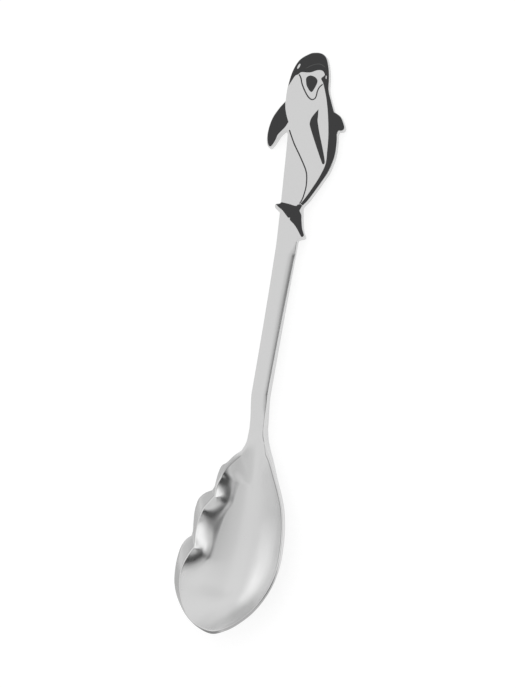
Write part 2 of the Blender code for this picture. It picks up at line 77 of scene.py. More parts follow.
# Rim of the bowl: crest x, crest y, lip x, lip y, fall from crest to lip, sharp.
# It runs from the left of the neck down three waves, round the tip and up the plain right side.
RIM = (
    (-3.05, -8.65, -4.48, -7.36, 1.05, False), (-4.8, -10.7, -6.3, -9.4, 1.15, False),
    (-5.9, -12.6, -7.5, -10.3, 1.15, False), (-6.25, -14.0, -7.95, -12.3, 1.05, False),
    (-6.7, -15.4, -8.0, -14.4, 0.9, False), (-6.9, -17.0, -8.0, -16.0, 0.75, False),
    (-6.8, -19.1, -8.4, -17.0, 0.65, True), (-8.25, -21.2, -10.25, -17.6, 1.0, False),
    (-9.15, -22.7, -11.6, -18.9, 1.2, False), (-9.55, -24.7, -12.0, -20.7, 1.3, False),
    (-9.75, -26.6, -12.0, -22.6, 1.25, False), (-9.7, -29.2, -11.6, -25.3, 1.1, False),
    (-9.4, -31.3, -11.15, -27.5, 0.85, False), (-9.35, -32.5, -11.2, -28.9, 0.7, True),
    (-10.4, -34.5, -12.65, -29.8, 1.1, False), (-11.15, -36.7, -13.6, -31.8, 1.2, False),
    (-11.4, -38.8, -13.9, -35.1, 1.2, False), (-11.15, -41.2, -13.7, -38.5, 1.2, False),
    (-10.5, -44.0, -13.0, -41.7, 1.1, False), (-9.0, -47.6, -11.3, -45.4, 1.0, False),
    (-6.55, -51.0, -8.2, -49.75, 0.9, False), (-3.4, -53.1, -4.5, -52.85, 0.8, False),
    (-0.1, -53.95, -0.4, -54.6, 0.75, False), (3.15, -53.2, 3.4, -53.7, 0.65, False),
    (6.1, -51.4, 6.4, -51.8, 0.6, False), (8.85, -48.7, 9.2, -49.05, 0.6, False),
    (11.0, -45.3, 11.4, -45.5, 0.6, False), (12.45, -41.4, 12.9, -41.5, 0.6, False),
    (13.1, -37.0, 13.6, -37.0, 0.6, False), (12.95, -32.2, 13.45, -32.1, 0.65, False),
    (12.25, -27.2, 12.75, -27.0, 0.7, False), (11.0, -22.2, 11.5, -21.95, 0.75, False),
    (9.3, -18.0, 9.8, -17.75, 0.85, False), (7.3, -13.8, 7.8, -13.55, 1.0, False),
    (5.1, -9.4, 5.78, -9.1, 1.3, False),
)

# Sides of the neck: crest x, crest y, edge x, edge y, lip x, lip y, fall. Edge and lip x count outwards
# from the neck's own side, and the fall is a share of the neck's thickness.
NECK_LEFT = ((-1.5, -7.28, 0.0, -2.3, 0.0, -2.3, 0.97), (-2.15, -7.83, 0.16, -5.15, 0.42, -4.87, 0.69))
NECK_RIGHT = (
    (3.45, -7.2, 2.0, -6.3, 2.42, -6.15, 0.6), (2.5, -6.15, 0.75, -4.0, 1.29, -3.95, 0.8),
    (1.65, -5.75, 0.12, -1.7, 0.39, -1.7, 0.97),
)

# Outlines of the figure: x, y from the stem's end, sharp.
FIGURE = (
    (-2.64, 0.0, True), (-3.15, 7.9, True), (-3.75, 8.35, False), (-4.62, 9.1, False),
    (-4.68, 9.97, False), (-3.66, 10.2, False), (-3.33, 10.6, True), (-3.77, 16.1, False),
    (-4.37, 23.8, False), (-4.75, 28.0, True), (-5.4, 28.9, False), (-6.26, 28.3, False),
    (-6.9, 27.4, False), (-7.4, 26.35, False), (-7.97, 25.28, False), (-8.72, 24.5, False),
    (-9.5, 25.08, False), (-9.98, 26.78, False), (-10.04, 29.4, False), (-9.5, 32.2, False),
    (-8.23, 34.72, False), (-6.86, 36.6, True), (-7.0, 40.12, False), (-6.51, 44.07, False),
    (-5.18, 47.17, False), (-2.73, 48.81, False), (-1.1, 49.07, False), (0.13, 48.91, False),
    (1.17, 48.37, False), (2.03, 47.3, False), (2.9, 44.91, False), (3.46, 42.36, False),
    (3.91, 39.28, False), (5.17, 36.24, False), (6.28, 33.75, True), (8.14, 32.62, False),
    (9.21, 30.98, False), (9.77, 29.5, False), (9.27, 28.82, False), (8.39, 28.75, False),
    (8.11, 27.92, True), (8.45, 25.92, False), (8.54, 22.27, False), (7.75, 18.62, False),
    (6.54, 16.06, False), (3.9, 11.3, False), (2.56, 9.5, False), (2.62, 7.95, False), (3.0, 5.95, False),
    (3.62, 3.47, False), (4.4, 1.9, False), (4.2, 1.3, False), (3.3, 1.12, False), (2.66, 0.8, True),
    (2.64, 0.0, True),
)
BACK = (
    (-6.86, 40.33, True), (-6.42, 44.0, False), (-5.13, 47.03, False), (-2.72, 48.68, False),
    (-1.11, 48.95, False), (0.11, 48.81, False), (1.11, 48.3, False), (1.95, 47.24, False),
    (2.82, 44.89, False), (3.38, 42.33, False), (3.83, 39.31, False), (5.08, 36.28, False),
    (6.25, 33.67, True), (8.07, 32.54, False), (9.13, 30.94, False), (9.67, 29.54, False),
    (9.16, 28.92, False), (8.28, 28.87, False), (8.01, 27.97, True), (8.35, 25.93, False),
    (8.44, 22.32, False), (7.64, 18.69, False), (6.47, 16.14, False), (3.79, 11.31, False),
    (2.46, 9.68, True), (1.81, 10.04, True), (2.64, 11.31, False), (3.86, 13.52, False),
    (5.5, 16.95, False), (6.48, 20.3, False), (6.32, 23.6, False), (5.89, 27.69, False),
    (4.92, 32.58, False), (3.9, 36.4, False), (2.95, 39.1, False), (2.09, 41.15, False),
    (1.39, 42.3, False), (2.0, 43.04, False), (2.11, 43.42, False), (1.53, 44.21, False),
    (0.72, 44.51, False), (-0.23, 44.43, False), (-1.46, 43.98, False), (-2.45, 43.9, False),
    (-4.11, 43.98, False), (-4.75, 43.46, False), (-5.55, 43.02, False), (-6.15, 41.88, False),
)
FLUKE = (
    (-4.56, 9.94, True), (-3.58, 10.08, False), (-3.17, 10.46, True), (-1.3, 10.06, False),
    (0.63, 9.53, False), (1.2, 9.85, False), (1.74, 9.98, True), (2.38, 9.62, True), (2.05, 8.77, False),
    (1.94, 8.23, False), (2.59, 7.13, False), (2.86, 5.79, False), (3.41, 3.74, False),
    (4.16, 2.06, False), (3.76, 1.56, False), (3.35, 1.88, False), (2.12, 3.61, False),
    (1.07, 4.81, False), (-0.13, 5.88, False), (-0.2, 6.48, True), (-0.77, 6.53, False),
    (-1.13, 6.87, False), (-2.55, 8.37, False), (-3.61, 9.13, False),
)
OUTER_FLIPPER = (
    (-6.88, 36.3, True), (-6.57, 34.62, False), (-5.91, 32.76, False), (-5.14, 31.14, True),
    (-5.84, 29.71, False), (-7.26, 27.93, False), (-7.63, 26.66, False), (-8.09, 25.55, False),
    (-8.68, 24.83, False), (-9.34, 25.34, False), (-9.86, 27.07, False), (-9.92, 29.36, False),
    (-9.39, 32.13, False), (-8.15, 34.6, False),
)
INNER_FLIPPER = (
    (2.1, 34.4, True), (2.31, 32.5, False), (2.45, 31.28, False), (3.56, 28.0, False),
    (5.13, 23.99, False), (6.19, 20.86, False), (5.77, 20.28, False), (4.99, 21.55, False),
    (2.72, 25.9, False), (0.84, 29.7, False), (0.46, 31.0, False), (0.82, 32.51, False),
)
CHIN = (
    (-2.51, 42.58, False), (-1.56, 43.12, False), (-0.2, 42.63, False), (0.53, 41.64, False),
    (0.19, 40.08, False), (-0.59, 38.85, False), (-1.91, 40.23, False), (-2.4, 41.47, False),
)
THROAT_LINE = (
    (-4.58, 43.4), (-3.96, 42.48), (-3.46, 41.17), (-2.76, 39.86), (-1.76, 38.34), (-0.86, 37.34),
    (-0.01, 36.89), (0.7, 37.25), (0.91, 38.06), (0.98, 39.07), (1.31, 40.09), (2.02, 40.87),
)
BELLY_LINE = (
    (-4.5, 29.05), (-3.77, 27.62), (-2.65, 25.57), (-1.61, 23.96), (0.0, 21.5), (1.86, 18.2), (2.47, 14.9),
    (2.29, 12.3), (2.0, 11.0), (1.6, 10.12),
)
MOUTH_LINE = ((-3.23, 44.87), (-1.45, 45.83), (0.32, 46.07), (2.04, 45.21))
# Eyes: middle x, middle y, half width, half length, tilt in degrees.
LEFT_EYE = (-5.05, 45.5, 0.28, 0.7, -20.0)
RIGHT_EYE = (2.6, 42.65, 0.14, 0.46, 10.0)


def ease(value: np.ndarray) -> np.ndarray:
    """Eases from 0 to 1 as value goes from 0 to 1: v squared times 3 - 2 v."""
    value = np.clip(value, 0.0, 1.0)
    return value * value * (3.0 - 2.0 * value)


@dataclass(frozen=True)
class Fade:
    """A gentle rise from 0 to 1: where it starts and the run it takes, negative where it runs downwards."""

    start: float
    run: float

    def at(self, value: np.ndarray) -> np.ndarray:
        """Eases from 0 at the start to 1 at the end of the run."""
        return ease((value - self.start) / self.run)


def unit(vectors: np.ndarray) -> np.ndarray:
    """Scales the vectors in the last axis to length 1."""
    return vectors / np.maximum(np.linalg.norm(vectors, axis=-1, keepdims=True), TINY)


def soft_min(a: np.ndarray, b: np.ndarray, blend: np.ndarray) -> np.ndarray:
    """Takes the lower of two heights and rounds the corner where they are within blend of each other."""
    share = np.clip(0.5 + 0.5 * (b - a) / blend, 0.0, 1.0)
    return b + (a - b) * share - blend * share * (1.0 - share)


def evened(values: np.ndarray, spread: np.ndarray) -> np.ndarray:
    """Evens out a closed run of values with bell curves, by way of its frequencies.

    Args:
        values: the run, one row a place, any number of columns.
        spread: widths of the bells in rows of the run.

    Returns:
        Bells by places by columns.
    """
    gain = np.exp(-0.5 * (2.0 * math.pi * spread[:, None] * np.fft.fftfreq(len(values))) ** 2)
    return np.fft.ifft(np.fft.fft(values, axis=0)[None] * gain[..., None], axis=1).real


def spline(points: Sequence, sharp: Sequence[bool], steps: int, closed: bool = True) -> np.ndarray:
    """Runs a cubic through points: each slope is half the way between its neighbours, or none at a corner.

    Args:
        points: one row a point, any number of columns.
        sharp: True for each point where the curve turns a corner.
        steps: pieces from one point to the next.
        closed: True where the last point leads back to the first.

    Returns:
        The points along the curve, as rows.
    """
    points = np.asarray(points, float)
    before = np.roll(points, 1, axis=0)
    after = np.roll(points, -1, axis=0)
    if not closed:
        before[0] = points[0]
        after[-1] = points[-1]
    slope = 0.5 * (after - before)
    slope[np.asarray(sharp, bool)] = 0.0
    if not closed:
        slope[0] *= 2.0
        slope[-1] *= 2.0
    last = len(points) if closed else len(points) - 1
    t = (np.arange(steps) / steps)[None, :, None]
    p0 = points[:last, None, :]
    m0 = slope[:last, None, :]
    p1 = np.roll(points, -1, axis=0)[:last, None, :]
    m1 = np.roll(slope, -1, axis=0)[:last, None, :]
    curve = ((2 * t**3 - 3 * t**2 + 1) * p0 + (t**3 - 2 * t**2 + t) * m0
             + (3 * t**2 - 2 * t**3) * p1 + (t**3 - t**2) * m1).reshape(-1, points.shape[1])
    return curve if closed else np.vstack([curve, points[-1:]])


def quarter(inner: np.ndarray, corner: np.ndarray, outer: np.ndarray, steps: int) -> np.ndarray:
    """Rounds corners with quarter ellipses that leave inner and reach outer along the two edges.

    Args:
        inner: where each rounding starts.
        corner: the corners that are cut off.
        outer: where each rounding ends.
        steps: pieces in a quarter.

    Returns:
        An array of steps + 1 rows of points.
    """
    turn = np.linspace(0.0, 0.5 * math.pi, steps + 1)[:, None, None]
    return corner + (inner - corner) * (1.0 - np.sin(turn)) + (outer - corner) * (1.0 - np.cos(turn))


def edge_profile(wide: np.ndarray, lean: np.ndarray, corner: np.ndarray) -> tuple[np.ndarray, np.ndarray]:
    """Shapes a worn top edge: a slope that steepens with a power, then a round corner onto the side.

    Args:
        wide: width of the slope, one a section, in a column.
        lean: the slope's steepness at its end.
        corner: radius of the corner.

    Returns:
        How far the EDGE_STEPS + 1 points of each section lie inside the side and below the top.
    """
    t = np.linspace(0.0, 1.0, EDGE_STEPS + 1 - CORNER_STEPS)
    turn = np.linspace(0.0, 0.5 * math.pi, CORNER_STEPS + 1)[1:]
    within = np.hstack([corner + wide * (1.0 - t), corner * (1.0 - np.sin(turn))])
    drop = lean * wide / (SLOPE_POWER + 1.0)
    below = np.hstack([drop * t ** (SLOPE_POWER + 1.0),
                       drop + corner * (lean * np.sin(turn) + 1.0 - np.cos(turn))])
    return within, below


def inside(points: np.ndarray, loop: np.ndarray) -> np.ndarray:
    """Tells which points lie in a closed outline, by counting the edges to their right.

    Args:
        points: rows that start with x and y.
        loop: the outline, in rows that start with x and y.

    Returns:
        True for each point in it.
    """
    x, y = points[:, 0:1], points[:, 1:2]
    x0, y0 = loop[:, 0], loop[:, 1]
    x1, y1 = np.roll(x0, -1), np.roll(y0, -1)
    spans = (y0 > y) != (y1 > y)
    rise = np.where(y1 == y0, TINY, y1 - y0)
    crossing = x0 + (y - y0) * (x1 - x0) / rise
    return (np.sum(spans & (x < crossing), axis=1) % 2) == 1


def outside(points: np.ndarray, loops: Sequence[np.ndarray]) -> np.ndarray:
    """Tells which points lie in none of the closed outlines."""
    return ~np.any([np.zeros(len(points), bool), *(inside(points, loop) for loop in loops)], axis=0)


def gap_to(points: np.ndarray, loops: Sequence[np.ndarray]) -> np.ndarray:
    """Measures how far points are from closed outlines.

    Args:
        points: rows of xy.
        loops: the outlines.

    Returns:
        For each point, the distance to the nearest edge.
    """
    best = np.full(len(points), np.inf)
    for loop in loops:
        along = np.roll(loop, -1, axis=0) - loop
        reach = points[:, None, :] - loop[None]
        share = np.sum(reach * along, axis=2) / np.maximum(np.sum(along**2, axis=1), TINY)
        off = reach - np.clip(share, 0.0, 1.0)[..., None] * along
        best = np.minimum(best, np.linalg.norm(off, axis=2).min(axis=1))
    return best


def inset(loop: np.ndarray, distance: float, sharpest: float = 0.5) -> np.ndarray:
    """Moves a closed outline inwards, each point along the middle between its two edges.

    Args:
        loop: rows of xy.
        distance: how far, outwards where it is negative.
        sharpest: least cosine of half a turn that a corner's longer way is worked out with.

    Returns:
        The moved rows.
    """
    ahead = unit(np.roll(loop, -1, axis=0) - loop)
    behind = np.roll(ahead, 1, axis=0)
    out = unit(np.column_stack([ahead[:, 1] + behind[:, 1], -ahead[:, 0] - behind[:, 0]]))
    lean = np.abs(np.sum(out * np.column_stack([ahead[:, 1], -ahead[:, 0]]), axis=1))
    turn = np.sum(loop[:, 0] * np.roll(loop[:, 1], -1) - np.roll(loop[:, 0], -1) * loop[:, 1])
    return loop - out * (distance * math.copysign(1.0, turn) / np.maximum(lean, sharpest))[:, None]


def numbered(shapes: Sequence[np.ndarray]) -> list[np.ndarray]:
    """Numbers the points of shapes that are stacked one after another, one array a shape."""
    ends = np.cumsum([0] + [len(shape) for shape in shapes])
    return [np.arange(first, end) for first, end in zip(ends[:-1], ends[1:])]


def collapsed(quads: np.ndarray) -> list[list[int]]:
    """Turns quads with two equal neighbouring corners into triangles.

    Args:
        quads: rows of four corner numbers.

    Returns:
        The triangles that are left of them.
    """
    same = quads == np.roll(quads, -1, axis=1)
    found = quads[np.sum(same, axis=1) == 1]
    where = np.argmax(found == np.roll(found, -1, axis=1), axis=1)
    order = (where[:, None] + np.array([1, 2, 3])) % 4
    return np.take_along_axis(found, order, axis=1).tolist()


def grid_faces(rows: int, columns: int, closed: bool) -> np.ndarray:
    """Lists the quads of a grid of points that are numbered row after row.

    Args:
        rows: rows of points.
        columns: points in a row.
        closed: whether the last column is joined to the first.

    Returns:
        Rows of four corner numbers.
    """
    across = columns if closed else columns - 1
    i = np.arange(rows - 1)[:, None] * columns
    j = np.arange(across)[None, :]
    k = (j + 1) % columns
    return np.stack([i + j, i + k, i + k + columns, i + j + columns], axis=-1).reshape(-1, 4)


def triangulate(points: np.ndarray, loops: Sequence[np.ndarray], enclosed: bool = False) -> np.ndarray:
    """Triangulates a flat region so that every outline in it stays an edge.

    Args:
        points: rows of xy, outlines first.
        loops: for each outline, the numbers of its points in order.
        enclosed: whether only the triangles within the outlines are kept.

    Returns:
        Rows of three corner numbers, otherwise for the whole region that the points span.
    """
    edges = [pair for loop in loops for pair in zip(loop.tolist(), np.roll(loop, -1).tolist())]
    flat = [Vector(point) for point in points.tolist()]
    made, _, faces, origin, _, _ = delaunay_2d_cdt(flat, edges, [], int(enclosed), MERGE)
    if len(made) != len(points):
        LOG.warning("an outline crosses itself: %d points became %d", len(points), len(made))
    back = np.array([came[0] if came else 0 for came in origin])
    return back[np.array([list(face) for face in faces])]


@dataclass(frozen=True)
class TablePose:
    """How the spoon lies on the table, on the back of its bowl and its figure's end."""

    pitch: float = 0.04002439
    place: tuple[float, float, float] = (0.00014375, -0.02014712, 0.00499514)

    def turn(self) -> np.ndarray:
        """The rotation from the handle's frame to the table's."""
        c, s = math.cos(self.pitch), math.sin(self.pitch)
        return np.array([[1.0, 0.0, 0.0], [0.0, c, s], [0.0, -s, c]])

    def to_table(self, points: np.ndarray) -> np.ndarray:
        """Takes points in millimetres in the handle's frame to metres on the table."""
        return points @ self.turn().T * MM + np.array(self.place)

    def table_height(self, y: np.ndarray) -> np.ndarray:
        """Height of the table under the spoon, in the handle's frame."""
        return (y * math.sin(self.pitch) - self.place[2] / MM) / math.cos(self.pitch)


class Patchwork:
    """Gathers patches of points and faces, joins the ones that meet and makes one mesh of them."""

    # Point attribute of painted shade: darker steel colour standing in for crease shade and dark reflections.
    PAINTED_SHADE = "painted_shade"

    def __init__(self, pose: TablePose) -> None:
        """Starts empty."""
        self.pose = pose
        self.points: list[np.ndarray] = []
        self.faces: list[np.ndarray] = []
        self.painted_shade: list[np.ndarray] = []
        self.count = 0

    def add(self, points: np.ndarray, faces: Sequence[np.ndarray], painted_shade: Optional[np.ndarray] = None) -> None:
        """Adds one patch.

        Args:
            points: rows of xyz in millimetres.
            faces: arrays of corner numbers, one row a face.
            painted_shade: for each point, how much painted shade darkens its steel, from 0 to 1; 0 where left
                out.
        """
        self.points.append(points.reshape(-1, 3))
        self.painted_shade.append(np.zeros(len(self.points[-1])) if painted_shade is None else painted_shade.ravel())
        self.faces += [block + self.count for block in faces if len(block)]
        self.count += self.points[-1].shape[0]

    def add_grid(self, rows: np.ndarray, closed: bool) -> None:
        """Adds a grid of points as quads, with its last column joined to its first where closed."""
        self.add(rows, [grid_faces(*rows.shape[:2], closed)])

    def add_cap(self, ring: np.ndarray, within: np.ndarray) -> None:
        """Closes a ring with triangles.

        Args:
            ring: rows of xyz round the opening.
            within: rows of xyz that the triangles also take up; may be empty.
        """
        points = np.vstack([ring, within])
        faces = triangulate(points[:, 0:2], numbered([ring]))
        self.add(points, [faces[inside(points[faces].mean(axis=1), ring)]])

    def joined(self) -> tuple[np.ndarray, list[list[int]]]:
        """Joins the points that meet and drops the faces that this leaves without a surface.

        Returns:
            The numbers of the points that are kept, and the faces with their corners counted among these.
        """
        points = np.vstack(self.points)
        used = np.zeros(len(points), bool)
        for block in self.faces:
            used[block.ravel()] = True
        keys = np.round(np.where(used[:, None], points, FAR) / WELD).astype(np.int64)
        _, kept, number = np.unique(keys, axis=0, return_index=True, return_inverse=True)
        number = number.reshape(-1)
        faces: list[list[int]] = []
        for block in self.faces:
            corners = number[block]
            faces += corners[np.all(corners != np.roll(corners, -1, axis=1), axis=1)].tolist()
            if block.shape[1] == 4:
                faces += collapsed(corners)
        return kept, faces

    def build(self, name: str, material: bpy.types.Material, crease: float) -> bpy.types.Object:
        """Joins the patches and puts them into the scene.

        Args:
            name: the name of the piece.
            material: its finish.
            crease: edges that turn by more than this many degrees stay sharp.

        Returns:
            The object, at the origin, with its place in its mesh.
        """
        kept, faces = self.joined()
        painted_shade = np.concatenate(self.painted_shade)[kept]
        mesh = bpy.data.meshes.new(name)
        mesh.from_pydata(self.pose.to_table(np.vstack(self.points)[kept]).tolist(), [], faces)
        # Stores the painted shade, darkening painted into the steel's colour, as a point attribute.
        if np.any(painted_shade):
            mesh.attributes.new(self.PAINTED_SHADE, "FLOAT", "POINT").data.foreach_set("value", painted_shade)
        tidy = bmesh.new()
        tidy.from_mesh(mesh)
        bmesh.ops.delete(tidy, geom=[v for v in tidy.verts if not v.link_faces], context="VERTS")
        bmesh.ops.recalc_face_normals(tidy, faces=tidy.faces)
        tidy.to_mesh(mesh)
        tidy.free()
        mesh.shade_smooth()
        mesh.set_sharp_from_angle(angle=math.radians(crease))
        mesh.materials.append(material)
        piece = bpy.data.objects.new(name, mesh)
        bpy.context.scene.collection.objects.link(piece)
        weighted = piece.modifiers.new("even_shading", "WEIGHTED_NORMAL")
        weighted.weight = SHADING_WEIGHT
        weighted.keep_sharp = True
        LOG.info("%s: %d faces", name, len(mesh.polygons))
        return piece


@dataclass(frozen=True)
class Stem:
    """The slim handle and the neck that it rises from."""

    length: float = 45.8
    width: float = 4.14
    width_power: float = 2.2
    end_width: float = 5.28
    thick: float = 2.2
    thick_power: float = 1.5
    end_thick: float = 1.2
    # The neck: its top rises over a run, a share of which lies below y = 0.
    neck_width: float = 3.65
    neck_thick: float = 2.8
    neck_drop: float = 1.8
    neck_rise: float = 10.0
    rise_lead: float = 0.24
    neck_grows: Fade = Fade(0.0, 9.0)
    rim_pitch: float = math.radians(4.15)
    under_round: float = 0.18
    # Slopes of the top edges: the left one stays crisp, the right one is worn. The worn one has a width near
    # the neck and what it gains up the stem, and there is less of it at the figure.
    crisp_width: float = 0.08
    crisp_lean: float = 0.1
    corner: float = 0.1
    worn_width: tuple[float, float] = (0.75, 0.65)
    worn_lean: float = 0.54
    worn_spread: float = 1.5
    worn_less: float = 0.6
    worn_starts: Fade = Fade(0.0, 5.0)
    worn_widens: Fade = Fade(4.0, 36.0)
    worn_ends: Fade = Fade(42.5, 3.3)
    # Points across the flat top, pieces down a side and round a lower edge, and sections.
    across: int = 25
    side: int = 4
    under: int = 5
    stations: int = 150
    crowding: float = 0.65

    def deck(self, y: np.ndarray) -> np.ndarray:
        """Height of the spoon's top: the rim's own slope, the rise of the neck, then the flat handle."""
        rim = -self.neck_drop - y * math.tan(self.rim_pitch)
        return (1.0 - ease((y + self.rise_lead * self.neck_rise) / self.neck_rise)) * rim

    def half(self, y: np.ndarray) -> np.ndarray:
        """Half the width at y: it grows out of the neck, then with a power of the way to the figure.

        Args:
            y: where along the stem.

        Returns:
            Half the width there.
        """
        lower = self.neck_width + (self.width - self.neck_width) * self.neck_grows.at(y)
        upper = (self.end_width - self.width) * np.clip(y / self.length, 0.0, 1.0) ** self.width_power
        return 0.5 * (lower + upper)

    def thickness(self, y: np.ndarray) -> np.ndarray:
        """Thickness at y: that of the neck fades out, and the stem thins with a power of the way up."""
        lower = self.neck_thick + (self.thick - self.neck_thick) * self.neck_grows.at(y)
        return lower - (self.thick - self.end_thick) * np.clip(y / self.length, 0.0, 1.0) ** self.thick_power

    def shoulder(self, y: np.ndarray, right: bool = True) -> tuple[np.ndarray, np.ndarray, np.ndarray]:
        """Slope along a top edge at y: the right one opens from the neck towards the figure.

        Args:
            y: where along the stem.
            right: whether the edge is the worn right one or the crisp left one.

        Returns:
            The slope's width, its steepness at its end and the radius of the corner below it.
        """
        end = self.worn_ends.at(y)
        wear_and_painted_shade = self.worn_starts.at(y) * (1.0 - self.worn_less * end) * float(right)
        narrow, more = self.worn_width
        opened = (narrow + more * self.worn_widens.at(y)) * wear_and_painted_shade
        wide = self.crisp_width + opened * (self.worn_spread - (self.worn_spread - 1.0) * end)
        return wide, self.crisp_lean + self.worn_lean * wear_and_painted_shade, self.corner + 0.0 * wear_and_painted_shade

    def section(self, y: np.ndarray) -> np.ndarray:
        """Works out closed sections: flat top, worn shoulders, sides, rounded lower edges, flat back.

        Args:
            y: where the sections stand along the stem.

        Returns:
            Sections by points by xyz. Each starts at the left of its flat top and runs to the right.
        """
        y = np.asarray(y, float)[:, None]
        half, thick, top = self.half(y), self.thickness(y), self.deck(y)
        within, below = edge_profile(*self.shoulder(y))
        left_within, left_below = edge_profile(*self.shoulder(y, right=False))
        low = self.under_round
        lower = np.linspace(0.0, 0.5 * math.pi, self.under + 1)[None, 1:]
        share = np.linspace(0.0, 1.0, self.side + 1)[None, 1:]
        span = np.linspace(-1.0, 1.0, self.across)[None]

        def wall(inner: np.ndarray, under: np.ndarray) -> tuple[np.ndarray, np.ndarray]:
            """Runs down one side: how far out from the middle its points lie, and their heights."""
            drop = under[:, -1:]
            out = np.hstack([half - inner[:, 1:], half + 0.0 * share, half - low * (1.0 - np.cos(lower))])
            return out, np.hstack([top - under[:, 1:], top - drop + (drop - thick + low) * share,
                                   top - thick + low * (1.0 - np.sin(lower))])

        right_x, right_z = wall(within, below)
        left_x, left_z = wall(left_within, left_below)
        flat_x = 0.5 * ((left_within - within)[:, :1] + (2.0 * half - (left_within + within)[:, :1]) * span)
        x = np.hstack([flat_x, right_x, -(half - low) * span[:, 1:], -left_x[:, -2::-1]])
        z = np.hstack([top + 0.0 * span, right_z, (top - thick) + 0.0 * span[:, 1:], left_z[:, -2::-1]])
        return np.stack([x, y + 0.0 * x, z], axis=-1)

    def wall_points(self) -> int:
        """Points of a section from the end of its flat top to the start of its flat back."""
        return 1 + EDGE_STEPS + self.side + self.under

    def ring(self, y: float) -> tuple[np.ndarray, np.ndarray, np.ndarray, np.ndarray]:
        """Splits the section at y into its four sides.

        Args:
            y: where along the stem.

        Returns:
            Flat top from left to right, right wall downwards, flat back from right to left, left wall
            downwards. Each starts or ends with its neighbours' corner points.
        """
        ring = self.section(np.array([y]))[0]
        right = self.across - 1
        low = right + self.wall_points() - 1
        left = low + self.across - 1
        left_wall = np.vstack([ring[left:], ring[:1]])[::-1]
        return ring[:right + 1], ring[right:low + 1], ring[low:left + 1], left_wall

    def add_to(self, work: Patchwork) -> None:
        """Adds the stem's skin from the neck to the figure, with sections that stand closer at the neck."""
        share = np.linspace(0.0, 1.0, self.stations)
        way = (1.0 - self.crowding) * share + self.crowding * share**2
        work.add_grid(self.section(self.length * way), closed=True)


@dataclass(frozen=True)
class Rim:
    """The crest line of the bowl, one entry a column of its grid."""

    crest: np.ndarray
    height: np.ndarray
    radius: np.ndarray
    start: np.ndarray
    floor: np.ndarray
    step: np.ndarray
    wavy: np.ndarray
    blend: np.ndarray

    def softened(self, spread: np.ndarray) -> np.ndarray:
        """Evens out the waves of the crest.

        Args:
            spread: width of the bell in columns, one a row.

        Returns:
            Rows by columns by crest x and y.
        """
        return self.crest + self.wavy[:, None] * (evened(self.crest, spread) - self.crest)


